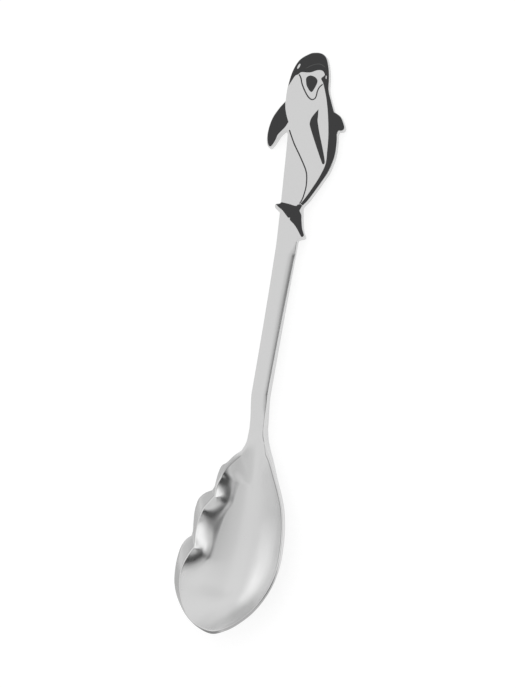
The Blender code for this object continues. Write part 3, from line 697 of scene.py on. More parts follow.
@dataclass(frozen=True)
class RimPaintedShade:
    """Painted shade on the rim's steel: two dark lines along it and stretches of its outer flank.

    It stands in for crease shade and dark reflections. Fades run along x or y of the rim's top edge.
    Strengths go from 0 for plain steel to 1 for full painted shade.
    """

    # Painted shade lines: strength, half width, and where they lie and run.
    right_line: float = 0.85
    right_half: float = 0.18
    right_inside: float = 0.25
    right_opens: Fade = Fade(-1.0, -2.0)
    right_crosses: Fade = Fade(-4.0, -4.0)
    right_side: Fade = Fade(1.5, 0.3)
    right_tip: Fade = Fade(1.5, 4.0)
    right_tip_y: float = -20.0
    left_line: float = 0.6
    left_half: float = 0.12
    left_peak: float = 1.5
    left_opens: Fade = Fade(-6.0, -2.0)
    left_ends: Fade = Fade(-14.0, 3.0)
    # Painted shade on the flanks: strength, and where it opens along and across the spoon.
    left_flank: float = 0.52
    left_flank_opens: Fade = Fade(-6.5, -3.0)
    left_flank_side: Fade = Fade(0.5, -3.5)
    right_flank: float = 0.55
    right_flank_opens: Fade = Fade(-36.0, -8.0)
    right_flank_side: Fade = Fade(0.5, 3.0)
    right_brim: float = 0.5
    tip_opens: Fade = Fade(-50.0, -3.0)
    tip_side: Fade = Fade(3.5, -3.0)
    # Rows of the grid that take part, and the width of a brim whose edge the line may follow.
    narrow_brim: float = 1.0
    edge_rows: int = 9
    flank_row: int = 4
    crest_rows: int = 3

    def lines(self, edge: np.ndarray, reach: np.ndarray, across: np.ndarray) -> np.ndarray:
        """Works out the painted shade lines along the rim, which fade evenly to both sides of their middles.

        The right one starts at the top edge of the neck and crosses to the inside of the crest. The left
        one is a short stretch of the crest below the neck.

        Args:
            edge: top edge of the rim, one row a column of the grid.
            reach: distance from the crest out to that edge.
            across: for each point of the grid, how far outside the crest it lies.

        Returns:
            How much painted shade each point takes.
        """
        side, up = edge[:, 0], edge[:, 1]
        crossed = self.right_crosses.at(up)
        middle = reach * (1.0 - crossed) - self.right_inside * crossed
        right = np.clip(1.0 - np.abs(across - middle) / self.right_half, 0.0, 1.0) * self.right_opens.at(up)
        right = right * np.where(up > self.right_tip_y, self.right_side.at(side), self.right_tip.at(side))
        left = np.clip(self.left_peak - np.abs(across) / self.left_half, 0.0, 1.0)
        left = left * self.left_opens.at(up) * self.left_ends.at(up)
        return np.maximum(self.right_line * right, self.left_line * left * (side < 0.0))

    def mask(self, edge: np.ndarray, reach: np.ndarray, gaps: np.ndarray, brim: np.ndarray,
             walls: int, back: int) -> np.ndarray:
        """Lays the painted shade lines and the painted shade of the flanks over the bowl's grid.

        Args:
            edge: top edge of the rim, one row a column of the grid.
            reach: distance from the crest out to that edge.
            gaps: distance from the crest of each row in the hollow.
            brim: share of the reach of each row on the brim.
            walls: rows down the rim's outer side.
            back: rows of the bowl's back.

        Returns:
            How much painted shade each point takes, rows by columns.
        """
        side, up = edge[:, 0], edge[:, 1]
        inner, first = len(gaps), len(gaps) + len(brim)
        across = np.full((first + walls + back, len(edge)), FAR)
        across[:inner] = -gaps[:, None]
        across[inner:first] = brim[:, None] * reach
        across[first] = np.where(reach > self.narrow_brim, FAR, reach)
        across[first + 1:first + self.edge_rows] = reach
        painted_shade = self.lines(edge, reach, across)
        left = self.left_flank * self.left_flank_opens.at(up) * self.left_flank_side.at(side)
        right = self.right_flank * self.right_flank_opens.at(up) * self.right_flank_side.at(side)
        tip = self.tip_opens.at(up) * self.tip_side.at(side)
        flank = first + self.flank_row
        for start, end, level in ((inner + self.crest_rows, flank, left * self.left_ends.at(up)),
                                  (inner, flank, self.right_brim * right),
                                  (flank, first + walls, np.maximum(np.maximum(left, right), tip))):
            painted_shade[start:end] = np.maximum(painted_shade[start:end], level)
        return painted_shade


@dataclass(frozen=True)
class Bowl:
    """The bowl: a grid from the valley of its hollow over the rim to the middle of its back.

    Its neck leads to the stem, and the table flattens the very back of it.
    """

    stem: Stem
    pose: TablePose
    depth: float = 5.1
    wall: float = 1.2
    crest: float = 0.55
    wall_power: float = 1.4
    floor_round: float = 0.3
    neck_shallow: float = 0.35
    bay_share: float = 0.45
    bay_run: float = 3.7
    bay_power: float = 1.75
    # Waves of the rim: they fade out down the wall, and end with the bays along the left side.
    wave_fade: float = 4.0
    wave_bell: float = 2.75
    wave_power: float = 1.1
    rim_band: float = 3.6
    bays_start: Fade = Fade(-10.0, -3.5)
    bays_end: Fade = Fade(-44.0, 11.0)
    # The valley: the line that the hollow climbs from.
    valley_x: float = 0.5
    valley_ends: tuple[float, float] = (-15.0, -42.0)
    valley_bell: float = 1.5
    valley_points: int = 60
    deepest: float = -30.0
    # Roundings of the rim, of the neck's start and of the foot.
    edge_round: float = 0.16
    lip_round: float = 0.14
    crest_round: float = 0.12
    neck_round: float = 1.3
    foot_round: float = 0.06
    neck_crest: tuple[float, float, float] = (-6.8, -6.2, -5.8)
    neck_below: float = -8.0
    neck_softens: Fade = Fade(-9.5, 4.0)
    neck_turns: Fade = Fade(-6.0, 4.0)
    back_turns: Fade = Fade(0.4, 0.6)
    # Rows of the grid: their distances from the crest, the rows farther in, and their shares of the brim.
    back_gaps: tuple[float, ...] = (0.0, 0.14, 0.3, 0.5, 0.75, 1.05, 1.45, 1.95, 2.55, 3.3)
    back_inner: int = 26
    back_lip: int = 3
    hollow_gaps: tuple[float, ...] = (0.0, 0.05, 0.11, 0.19, 0.3, 0.44, 0.62, 0.85, 1.15, 1.5, 1.9, 2.4, 2.95)
    hollow_inner: int = 30
    brim_shares: tuple[float, ...] = (0.04, 0.09, 0.15, 0.22, 0.3, 0.4, 0.52, 0.66, 0.82)
    inner_share: float = 0.05
    inner_run: float = 8.0
    nudge: float = 0.001
    steps: int = 12
    # Painted shade on the rim: dark lines and darker flanks in the steel's colour, for crease shade and dark
    # reflections.
    finish: RimPaintedShade = RimPaintedShade()

    def stations(self) -> tuple[np.ndarray, list[bool]]:
        """Lists the rim with the two sides and the end of the neck.

        Returns:
            Rows of crest x, y, edge x, y, lip x, y and fall, and which of them are corners.
        """
        half, thick = 0.5 * self.stem.neck_width, self.stem.neck_thick
        left_y, middle_y, right_y = self.neck_crest

        def neck_side(table: tuple, side: float) -> list[tuple]:
            """Sets the rows of one side of the neck out from its half width."""
            return [(x, y, side * (half + edge_x), edge_y, side * (half + lip_x), lip_y, fall * thick)
                    for x, y, edge_x, edge_y, lip_x, lip_y, fall in table]

        rows = [(-0.5 * half, left_y, -half, 0.0, -half, 0.0, thick), *neck_side(NECK_LEFT, -1.0)]
        for crest_x, crest_y, lip_x, lip_y, fall, _ in RIM:
            run = math.hypot(lip_x - crest_x, lip_y - crest_y)
            share = min(self.crest, 0.5 * run) / run
            rows.append((crest_x, crest_y, crest_x + (lip_x - crest_x) * share,
                         crest_y + (lip_y - crest_y) * share, lip_x, lip_y, fall))
        rows += [*neck_side(NECK_RIGHT, 1.0), (0.5 * half, right_y, half, 0.0, half, 0.0, thick),
                 (0.0, middle_y, 0.0, 0.0, 0.0, 0.0, thick)]
        corners = [True, *(False for _ in NECK_LEFT), *(station[-1] for station in RIM),
                   *(False for _ in NECK_RIGHT), True, False]
        return np.array(rows), corners

    def valley(self, y: np.ndarray) -> np.ndarray:
        """Height of the bottom of the hollow at y, deepest in the wide part and shallower to the neck."""
        along = (y - self.deepest) / (self.valley_ends[0] - self.deepest)
        return self.stem.deck(y) - self.depth * (1.0 - self.neck_shallow * along**2)

    def dished(self, r: np.ndarray) -> np.ndarray:
        """Climb of the hollow from 0 at its middle to 1 at its rim, round at the bottom."""
        half, soft = 0.5 * self.wall_power, self.floor_round**2
        return ((r**2 + soft) ** half - soft**half) / ((1.0 + soft) ** half - soft**half)

    def rim(self, crest: np.ndarray) -> Rim:
        """Works out what the hollow starts from and climbs to along the crest.

        Args:
            crest: crest x and y, one row a column of the grid.

        Returns:
            The rim.
        """
        down = crest[:, 1]
        height = self.stem.deck(down)
        ends = np.clip(down, *self.valley_ends[::-1])[:, None]
        ends = evened(ends, np.array([self.valley_bell * self.steps]))[0]
        start = np.column_stack([np.full(len(crest), self.valley_x), ends])
        floor = self.valley(start[:, 1])
        wavy = self.bays_start.at(down) * self.bays_end.at(down) * ease(-crest[:, 0] / self.rim_band)
        step = wavy * self.bay_share * (height - floor)
        blend = self.crest_round + (self.neck_round - self.crest_round) * self.neck_softens.at(down)
        return Rim(crest, height, np.linalg.norm(crest - start, axis=1), start, floor, step, wavy, blend)

    def hollow(self, share: np.ndarray, gap: np.ndarray, rim: Rim) -> tuple[np.ndarray, np.ndarray]:
        """Works out rows of the hollow, which climbs with a power of the way r from the valley to the crest.

        The waves of the rim fade out down the wall, and a bay rises steeply in its outer run.

        Args:
            share: for each row, its share of the way to the start of the outer run.
            gap: for each row, its distance from the crest; rows inside the outer run go on counting.
            rim: the crest line.

        Returns:
            Rows by columns by xyz, and r for each of them.
        """
        spread = self.wave_bell * self.steps * np.minimum(gap / self.wave_fade, 1.0) ** self.wave_power
        r = share[:, None] * (1.0 - np.minimum(gap, self.rim_band)[:, None] / rim.radius)
        outer = np.clip(1.0 - (1.0 - r) * rim.radius / self.bay_run, 0.0, 1.0)
        rise = rim.floor + (rim.height - rim.step - rim.floor) * self.dished(r)
        rise = rise + rim.step * outer**self.bay_power
        plan = rim.start + r[..., None] * (rim.softened(spread) - rim.start)
        return np.concatenate([plan, rise[..., None]], axis=-1), r

    def rows(self, near: Sequence[float], count: int) -> tuple[np.ndarray, np.ndarray]:
        """Lists rows from the crest inwards.

        Args:
            near: distances from the crest of the rows in the outer run, which ends at the rim band.
            count: rows between the outer run and the middle.

        Returns:
            Each row's share and its gap, as hollow takes them.
        """
        inner = np.linspace(1.0, self.inner_share, count + 1)[1:]
        share = np.concatenate([np.ones(len(near) + 1), inner])
        return share, np.concatenate([near, [self.rim_band], self.rim_band + self.inner_run * (1.0 - inner)])

    def rested(self, points: np.ndarray) -> np.ndarray:
        """Lifts points of the back to the table where they would lie below it.

        Args:
            points: xyz in the last axis.

        Returns:
            The points with their new heights.
        """
        table = self.pose.table_height(points[..., 1])
        height = -soft_min(-points[..., 2], -table, np.array(self.foot_round))
        return np.concatenate([points[..., 0:2], height[..., None]], axis=-1)

    def back(self, rim: Rim, lip: np.ndarray) -> np.ndarray:
        """Works out the bowl's back: the hollow moved out by the wall, and to the lip near the rim.

        Args:
            rim: the crest line.
            lip: lower edge of the rim, one row a column.

        Returns:
            Rows by columns by xyz, from the lip inwards.
        """
        hollow, r = self.hollow(*self.rows(self.back_gaps, self.back_inner), rim)
        around = np.roll(hollow, -1, axis=1) - np.roll(hollow, 1, axis=1)
        normal = unit(np.cross(np.gradient(hollow, axis=0), around))
        normal *= np.sign(normal[..., 2:3])
        normal[-1] = (0.0, 0.0, 1.0)
        share = self.back_turns.at(r.mean(axis=1))[:, None, None]
        shell = hollow - (1.0 - share) * self.wall * normal + share * (lip - hollow[0])[None]
        return self.rested(shell)

    def walls(self, rim: Rim, edge: np.ndarray, lip: np.ndarray, back: np.ndarray) -> np.ndarray:
        """Works out the rim's outer side: rounded top edge, flank and rounded lip, as on the neck.

        Args:
            rim: the crest line.
            edge: top edge of the rim before it is rounded, one row a column.
            lip: lower edge of the rim before it is rounded.
            back: rows of the bowl's back.

        Returns:
            Rows by columns by xyz, from the top down.
        """
        stem, neck = self.stem, self.neck_turns.at(edge[:, 1])[:, None]
        within, below = edge_profile(*(np.array([[float(part)]]) for part in stem.shoulder(np.array(0.0))))
        side = np.sign(edge[:, 0:1])
        sideways = np.hstack([-side, 0.0 * side, 0.0 * side])
        inward = unit((1.0 - neck) * unit(rim.crest - edge[:, 0:2]) + neck * sideways[:, 0:2])
        start = edge[:, 0:2] + inward * (self.edge_round + (within[0, 0] - self.edge_round) * neck)
        start = np.column_stack([start, stem.deck(start[:, 1])])
        flank = unit(lip - edge)
        leave = edge + flank * (self.edge_round + (below[0, -1] - self.edge_round) * neck)
        lip_round = self.lip_round + (stem.under_round - self.lip_round) * neck
        meet = lip - flank * lip_round
        inner = unit((1.0 - neck) * unit(back[self.back_lip - 1] - lip) + neck * sideways)
        share = np.linspace(0.0, 1.0, stem.side + 1)[1:-1, None, None]
        return np.concatenate([quarter(start, edge, leave, EDGE_STEPS), leave + (meet - leave) * share,
                               quarter(meet, lip, lip + inner * lip_round, stem.under)])

    def brim(self, rim: Rim, edge: np.ndarray) -> np.ndarray:
        """Works out the brim from the crest to the top edge: the hollow's climb goes on and rounds off level.

        Args:
            rim: the crest line.
            edge: the first row of the rim's outer side.

        Returns:
            Rows by columns by xyz, from the crest outwards.
        """
        plan = rim.crest + (edge[:, 0:2] - rim.crest) * np.array(self.brim_shares)[:, None, None]
        slope = (1.0 - self.dished(np.array(1.0 - self.nudge))) / self.nudge
        steep = slope * (rim.height - rim.step - rim.floor) / rim.radius
        steep = steep + self.bay_power * rim.step / self.bay_run
        climb = rim.height + steep * np.linalg.norm(plan - rim.crest, axis=2)
        height = soft_min(climb, self.stem.deck(plan[..., 1]), rim.blend)
        return np.concatenate([plan, height[..., None]], axis=-1)

    def add_to(self, work: Patchwork) -> None:
        """Adds the bowl's skin, open at the end of the neck where the stem's first section closes it.

        Args:
            work: takes the patches.
        """
        stem = self.stem
        stations, corners = self.stations()
        around = spline(stations, corners, self.steps)
        bends = [corner and y < self.neck_below for corner, y in zip(corners, stations[:, 1])]
        rim = self.rim(spline(stations[:, 0:2], bends, self.steps))
        edge = np.column_stack([around[:, 2:4], stem.deck(around[:, 3])])
        lip = np.column_stack([around[:, 4:6], stem.deck(around[:, 5]) - around[:, 6]])
        back = self.back(rim, lip)
        walls = self.walls(rim, edge, lip, back)
        neck_end = (len(stations) - 2) * self.steps
        flat_top, right_wall, flat_back, left_wall = stem.ring(0.0)
        walls[:, neck_end] = right_wall
        walls[:, 0] = left_wall
        walls[0, neck_end:] = flat_top[::-1][:-1]
        walls[-1, neck_end:] = flat_back[:-1]
        share, gap = self.rows(self.hollow_gaps, self.hollow_inner)
        basin = self.hollow(share, gap, rim)[0][::-1].copy()
        basin[..., 2] = soft_min(basin[..., 2], rim.height, rim.blend)
        brim = self.brim(rim, walls[0])
        back = back[self.back_lip:]

        grid = np.concatenate([basin, brim, walls, back])
        quads = grid_faces(*grid.shape[:2], closed=True)
        row, column = np.divmod(quads[:, 0], grid.shape[1])
        first = len(basin) + len(brim)
        opening = (row >= first) & (row < first + len(walls) - 1) & (column >= neck_end)
        reach = np.linalg.norm(walls[0, :, 0:2] - rim.crest, axis=1)
        # Painted shade: darker steel colour along the rim's lines and flanks.
        painted_shade = self.finish.mask(edge, reach, gap[::-1], np.array(self.brim_shares), len(walls), len(back))
        work.add(grid, [quads[~opening]], painted_shade)

        line = np.linspace(*self.valley_ends, self.valley_points)
        bottom = np.column_stack([np.full(len(line), self.valley_x), line, self.valley(line)])
        work.add_cap(grid[0], bottom)
        work.add_cap(grid[-1], self.rested(bottom - (0.0, 0.0, self.wall)))


@dataclass(frozen=True)
class Fill:
    """One enamel fill: its name, the CAD node it stands for, its outline and the eyes left open in it."""

    name: str
    node: str
    outline: tuple = ()
    line: tuple = ()
    eyes: tuple = ()


class Fills(Enum):
    """The enamel fills of the figure."""

    BACK = Fill("back_enamel", "enamel_back", outline=BACK, eyes=(LEFT_EYE, RIGHT_EYE))
    FLUKE = Fill("fluke_enamel", "enamel_fluke", outline=FLUKE)
    OUTER_FLIPPER = Fill("outer_flipper_enamel", "enamel_outer_flipper", outline=OUTER_FLIPPER)
    INNER_FLIPPER = Fill("inner_flipper_enamel", "enamel_inner_flipper", outline=INNER_FLIPPER)
    CHIN = Fill("chin_enamel", "enamel_chin", outline=CHIN)
    THROAT = Fill("throat_enamel", "enamel_throat_line", line=THROAT_LINE)
    BELLY = Fill("belly_enamel", "enamel_belly_line", line=BELLY_LINE)


@dataclass(frozen=True)
class Figure:
    """The flat dolphin at the end of the stem, with its pockets, fills and mouth line."""

    stem: Stem
    thick: float = 1.2
    pocket: float = 0.4
    line_width: float = 0.32
    edge_round: float = 0.05
    # Lengths over which the stem's edges become the plate's own.
    left_blend: float = 7.0
    right_blend: float = 0.75
    # Enamel: its gap to the pocket, how deep it is sunk, its dome, and the mesh over it.
    gap: float = 0.012
    sunk: float = 0.008
    dome: float = 0.05
    dome_reach: float = 0.26
    mesh_step: float = 0.24
    row_step: float = 0.866
    mesh_room: float = 0.2
    edge_rings: tuple[float, float] = (0.05, 0.11)
    ring_room: float = 0.85
    # Mouth line: half width, height above the enamel, foot of its arch, root below it, and its ends.
    mouth_half: float = 0.085
    mouth_rise: float = 0.012
    mouth_base: float = 0.03
    mouth_root: float = 0.2
    mouth_taper: float = 6.0
    mouth_tip: float = 0.05
    mouth_arc: int = 9
    mouth_steps: int = 16
    eye_points: int = 28
    steps: int = 8

    def drawn(self, table: tuple, closed: bool = True) -> np.ndarray:
        """Runs an outline of the figure through its points and sets it above the stem.

        Args:
            table: rows of x, y and whether the outline turns a corner there.
            closed: whether the last point leads back to the first.

        Returns:
            Rows of xy.
        """
        plan = np.array([(x, y) for x, y, _ in table])
        return spline(plan, [corner for _, _, corner in table], self.steps, closed) + (0.0, self.stem.length)

    def path(self, line: tuple, steps: int) -> tuple[np.ndarray, np.ndarray]:
        """Runs an open line through its points and sets it above the stem.

        Args:
            line: rows of x and y.
            steps: pieces from one point to the next.

        Returns:
            Rows of xy, and for each the direction to its left.
        """
        path = spline(line, [False] * len(line), steps, closed=False) + (0.0, self.stem.length)
        along = unit(np.gradient(path, axis=0))
        return path, np.column_stack([-along[:, 1], along[:, 0]])

    def oval(self, eye: tuple) -> np.ndarray:
        """Draws a tilted oval as a closed outline.

        Args:
            eye: middle x and y, half width, half length and tilt.

        Returns:
            Rows of xy.
        """
        centre_x, centre_y, half_x, half_y, tilt = eye
        angle = np.linspace(0.0, 2.0 * math.pi, self.eye_points, endpoint=False)
        x, y = half_x * np.cos(angle), half_y * np.sin(angle)
        c, s = math.cos(math.radians(tilt)), math.sin(math.radians(tilt))
        return np.column_stack([x * c - y * s + centre_x, x * s + y * c + centre_y + self.stem.length])

    def loops(self, fill: Fill) -> tuple[np.ndarray, list[np.ndarray]]:
        """Draws a fill, which is an outline or a line of even width.

        Args:
            fill: the fill.

        Returns:
            Its outer outline, and the outlines of the eyes in it.
        """
        eyes = [self.oval(eye) for eye in fill.eyes]
        if fill.outline:
            return self.drawn(fill.outline), eyes
        path, side = self.path(fill.line, self.steps)
        side = side * 0.5 * self.line_width
        return np.vstack([path + side, (path - side)[::-1]]), eyes

    def add_to(self, work: Patchwork) -> None:
        """Adds the plate's skin: rounded edge, top with pockets, pocket walls and floors, and back.

        Args:
            work: takes the patches.
        """
        top_row, _, back_row, _ = (part[:, 0:2] for part in self.stem.ring(self.stem.length))
        top, low = self.add_edge(work)
        self.add_face(work, np.vstack([top, top_row[::-1][1:-1]]))
        back = np.vstack([low, back_row[1:-1]])
        work.add_cap(np.column_stack([back, np.full(len(back), -self.thick)]), np.empty((0, 3)))

    def add_edge(self, work: Patchwork) -> tuple[np.ndarray, np.ndarray]:
        """Adds the plate's edge, which starts as the stem's and soon becomes the plate's own.

        Args:
            work: takes the patch.

        Returns:
            Rows of xy where the edge meets the plate's top and its back.
        """
        stem, path = self.stem, self.drawn(FIGURE, closed=False)
        along = unit(np.gradient(path, axis=0))
        inward = np.column_stack([along[:, 1], -along[:, 0]])
        inward[0] = (1.0, 0.0)
        inward[-1] = (-1.0, 0.0)
        run = np.concatenate([[0.0], np.cumsum(np.linalg.norm(np.diff(path, axis=0), axis=1))])
        from_left, from_right = ease(run / self.left_blend), ease((run[-1] - run) / self.right_blend)
        stay = np.maximum(1.0 - from_left, 1.0 - from_right)[:, None]
        end = np.array(stem.length)
        wide, lean, corner = np.where(run[:, None] < 0.5 * run[-1], stem.shoulder(end, right=False),
                                      stem.shoulder(end)).T[..., None]
        corner = self.edge_round + (corner - self.edge_round) * stay
        within, below = edge_profile(wide * stay, lean * stay, corner)
        edge = np.concatenate([path + inward * within.T[..., None], -below.T[..., None]], axis=-1)
        foot = np.column_stack([path, np.full(len(path), -self.thick)])
        meet = foot + (0.0, 0.0, stem.under_round)
        finish = np.column_stack([path + inward * stem.under_round, foot[:, 2]])
        share = np.linspace(0.0, 1.0, stem.side + 1)[1:-1, None, None]
        work.add_grid(np.concatenate([edge, edge[-1] + (meet - edge[-1]) * share,
                                      quarter(meet, foot, finish, stem.under)]), closed=False)
        return edge[0, :, 0:2], finish[:, 0:2]

    def add_face(self, work: Patchwork, rim: np.ndarray) -> None:
        """Adds the plate's flat top with its pockets.

        Args:
            work: takes the patches.
            rim: outline of the flat top.
        """
        drawn = [self.loops(fill.value) for fill in Fills]
        pockets = [outer for outer, _ in drawn]
        eyes = [eye for _, holes in drawn for eye in holes]
        shapes = [rim, *pockets, *eyes]
        flat = np.vstack(shapes)
        faces = triangulate(flat, numbered(shapes))
        centre = flat[faces].mean(axis=1)
        in_pocket = np.any([inside(centre, loop) for loop in pockets], axis=0)
        in_pocket &= ~np.any([inside(centre, loop) for loop in eyes], axis=0)
        on_plate = inside(centre, rim)
        high = np.column_stack([flat, np.zeros(len(flat))])
        deep = high - (0.0, 0.0, self.pocket)
        work.add(high, [faces[on_plate & ~in_pocket]])
        work.add(deep, [faces[on_plate & in_pocket]])
        for numbers in numbered(shapes)[1:]:
            work.add_grid(np.stack([high[numbers], deep[numbers]]), closed=True)

    def fill_points(self, loops: Sequence[np.ndarray]) -> list[np.ndarray]:
        """Spreads points over a fill: a grid of near-even triangles, and rings that follow its edges.

        Args:
            loops: the fill's outer outline, then those of its holes.

        Returns:
            The grid's points and each ring's, as rows of xy.
        """
        low, high, step = loops[0].min(axis=0), loops[0].max(axis=0), self.mesh_step
        x, y = np.meshgrid(np.arange(low[0], high[0], step), np.arange(low[1], high[1], self.row_step * step))
        x = x + 0.5 * step * (np.arange(len(x)) % 2)[:, None]
        grid = np.column_stack([x.ravel(), y.ravel()])
        grid = grid[inside(grid, loops[0])]
        points = [grid[gap_to(grid, loops) > self.mesh_room]]
        for distance in self.edge_rings:
            for number, loop in enumerate(loops):
                moved = inset(loop, distance if number == 0 else -distance)
                keep = inside(moved, loops[0]) & (gap_to(moved, loops) > self.ring_room * distance)
                points.append(moved[keep & outside(moved, loops[1:])])
        return points

    def add_fill(self, work: Patchwork, fill: Fill) -> None:
        """Adds one enamel fill: a low dome that drops with the square of the nearness to its edge.

        Args:
            work: takes the patches.
            fill: the fill.
        """
        outer, holes = self.loops(fill)
        loops = [inset(outer, self.gap)] + [inset(hole, -self.gap) for hole in holes]
        flat = np.vstack([*loops, *self.fill_points(loops)])
        edges = numbered(loops)
        faces = triangulate(flat, edges, enclosed=True)
        faces = faces[outside(flat[faces].mean(axis=1), loops[1:])]
        near = 1.0 - np.clip(gap_to(flat, loops) / self.dome_reach, 0.0, 1.0)
        near[np.concatenate(edges)] = 1.0
        top = np.column_stack([flat, -self.sunk - self.dome * near**2])
        base = np.column_stack([flat, np.full(len(flat), -self.pocket + self.gap)])
        work.add(top, [faces])
        work.add(base, [faces])
        for numbers in edges:
            work.add_grid(np.stack([top[numbers], base[numbers]]), closed=True)

    def add_mouth(self, work: Patchwork) -> None:
        """Adds the mouth line: a low half-round carried along an arc in the head's enamel.

        Args:
            work: takes the patches.
        """
        path, side = self.path(MOUTH_LINE, self.mouth_steps)
        place = np.arange(len(path))
        taper = np.sqrt(np.clip(np.minimum(place, place[::-1]) / self.mouth_taper, self.mouth_tip, 1.0))
        angle = np.linspace(0.0, math.pi, self.mouth_arc)
        out = np.concatenate([np.cos(angle), [-1.0, 1.0]])
        arch = np.sin(angle) * (self.mouth_rise + self.sunk + self.mouth_base) - self.mouth_base - self.sunk
        up = np.concatenate([arch, [-self.mouth_root, -self.mouth_root]])
        plan = path[:, None, :] + side[:, None, :] * (self.mouth_half * taper[:, None] * out)[..., None]
        rings = np.concatenate([plan, np.broadcast_to(up, plan.shape[:2])[..., None]], axis=-1)
        work.add_grid(rings, closed=True)
        for end in (rings[0], rings[-1]):
            points = np.vstack([end, end.mean(axis=0)])
            numbers = np.arange(len(end))
            work.add(points, [np.column_stack([numbers, np.roll(numbers, -1), np.full(len(end), len(end))])])


def add_node(tree: bpy.types.NodeTree, kind: str, inputs: dict[Union[int, str], Any],
             **settings: str) -> bpy.types.Node:
    """Adds a node.

    Args:
        tree: the nodes that it joins.
        kind: its type.
        inputs: for each input's name or number, its value or the socket that feeds it.
        settings: its other settings, such as its operation.

    Returns:
        The node.
    """
    node = tree.nodes.new(kind)
    for name, value in settings.items():
        setattr(node, name, value)
    for name, value in inputs.items():
        if isinstance(value, bpy.types.NodeSocket):
            tree.links.new(value, node.inputs[name])
        else:
            node.inputs[name].default_value = value
    return node


def add_math(tree: bpy.types.NodeTree, operation: str, *inputs: Any) -> bpy.types.NodeSocket:
    """Adds a sum: a math node with its inputs in order, each a value or the socket that feeds it."""
    return add_node(tree, "ShaderNodeMath", dict(enumerate(inputs)), operation=operation).outputs["Value"]


class WearGroup:
    """Fine unevenness that steel and enamel share: a mottled value and a fine grain."""

    NAME = "fine_wear"
    MOTTLE_DETAIL = 3.0
    GRAIN_DETAIL = 4.0
    GRAIN_SHARE = 0.5
    SPREAD = (0.3, 0.7)

    def __init__(self) -> None:
        """Builds the node group once: the mean of both noises goes from Low to High, the grain stays."""
        tree = bpy.data.node_groups.new(self.NAME, "ShaderNodeTree")
        for name in ("Mottle Scale", "Grain Scale", "Low", "High"):
            tree.interface.new_socket(name, in_out="INPUT", socket_type="NodeSocketFloat")
        tree.interface.new_socket("Stretch", in_out="INPUT", socket_type="NodeSocketVector")
        for name in ("Roughness", "Grain"):
            tree.interface.new_socket(name, in_out="OUTPUT", socket_type="NodeSocketFloat")
        entry = tree.nodes.new("NodeGroupInput").outputs
        where = tree.nodes.new("ShaderNodeTexCoord").outputs["Object"]
        drawn = add_node(tree, "ShaderNodeVectorMath", {0: where, 1: entry["Stretch"]}, operation="MULTIPLY")
        mottle = add_node(tree, "ShaderNodeTexNoise", {
            "Vector": where, "Scale": entry["Mottle Scale"], "Detail": self.MOTTLE_DETAIL})
        grain = add_node(tree, "ShaderNodeTexNoise", {
            "Vector": drawn.outputs["Vector"], "Scale": entry["Grain Scale"], "Detail": self.GRAIN_DETAIL})
        rest = add_math(tree, "MULTIPLY", mottle.outputs["Fac"], 1.0 - self.GRAIN_SHARE)
        both = add_math(tree, "MULTIPLY_ADD", grain.outputs["Fac"], self.GRAIN_SHARE, rest)
        span = add_node(tree, "ShaderNodeMapRange", {
            "Value": both, "From Min": self.SPREAD[0], "From Max": self.SPREAD[1],
            "To Min": entry["Low"], "To Max": entry["High"]})
        add_node(tree, "NodeGroupOutput", {
            "Roughness": span.outputs["Result"], "Grain": grain.outputs["Fac"]})
        self.tree = tree


@dataclass(frozen=True)
class Finish:
    """A surface finish."""

    name: str
    colour: tuple[float, float, float]
    metallic: float
    rough_low: float
    rough_high: float
    mottle: float
    grain: float
    relief: float
    stretch: tuple[float, float, float] = (1.0, 1.0, 1.0)
    # Share of the colour left where painted shade is full; 1 paints no shade.
    painted_shade_tone: float = 1.0
    relief_height: float = 0.00002

    def material(self, wear: WearGroup) -> bpy.types.Material:
        """Makes the material. Its colour darkens with the piece's painted shade attribute where the finish
        paints shade.

        Args:
            wear: the shared group of fine unevenness.

        Returns:
            The material.
        """
        made = bpy.data.materials.new(self.name)
        made.use_nodes = True
        tree = made.node_tree
        shader = tree.nodes["Principled BSDF"]
        shader.inputs["Metallic"].default_value = self.metallic
        shader.inputs["Base Color"].default_value = (*self.colour, 1.0)
        # Painted shade: the point attribute darkens the base colour, standing in for crease shade and dark
        # reflections.
        if self.painted_shade_tone < 1.0:
            wear_and_painted_shade = add_node(tree, "ShaderNodeAttribute", {}, attribute_name=Patchwork.PAINTED_SHADE)
            tone = add_node(tree, "ShaderNodeMix", {
                "Factor": wear_and_painted_shade.outputs["Fac"], "A": (*self.colour, 1.0),
                "B": (*(self.painted_shade_tone * part for part in self.colour), 1.0)}, data_type="RGBA")
            tree.links.new(tone.outputs["Result"], shader.inputs["Base Color"])
        fine = tree.nodes.new("ShaderNodeGroup")
        fine.node_tree = wear.tree
        for name, value in (("Mottle Scale", self.mottle), ("Grain Scale", self.grain),
                            ("Low", self.rough_low), ("High", self.rough_high), ("Stretch", self.stretch)):
            fine.inputs[name].default_value = value
        bump = add_node(tree, "ShaderNodeBump", {
            "Strength": self.relief, "Distance": self.relief_height, "Height": fine.outputs["Grain"]})
        tree.links.new(fine.outputs["Roughness"], shader.inputs["Roughness"])
        tree.links.new(bump.outputs["Normal"], shader.inputs["Normal"])
        return made


# The steel darkens to 0.35 of its colour where painted shade is full.
STEEL = Finish("satin_steel", (0.8, 0.8, 0.8), metallic=1.0, rough_low=0.22, rough_high=0.28, mottle=140.0,
               grain=700.0, relief=0.25, stretch=(1.0, 0.08, 1.0), painted_shade_tone=0.35)
BARE_LINE = Finish("dull_steel_line", (0.14, 0.14, 0.14), metallic=1.0, rough_low=0.3, rough_high=0.4,
                   mottle=140.0, grain=700.0, relief=0.1)
ENAMEL = Finish("black_enamel", (0.018, 0.018, 0.019), metallic=0.0, rough_low=0.26, rough_high=0.36,
                mottle=260.0, grain=1500.0, relief=0.2)


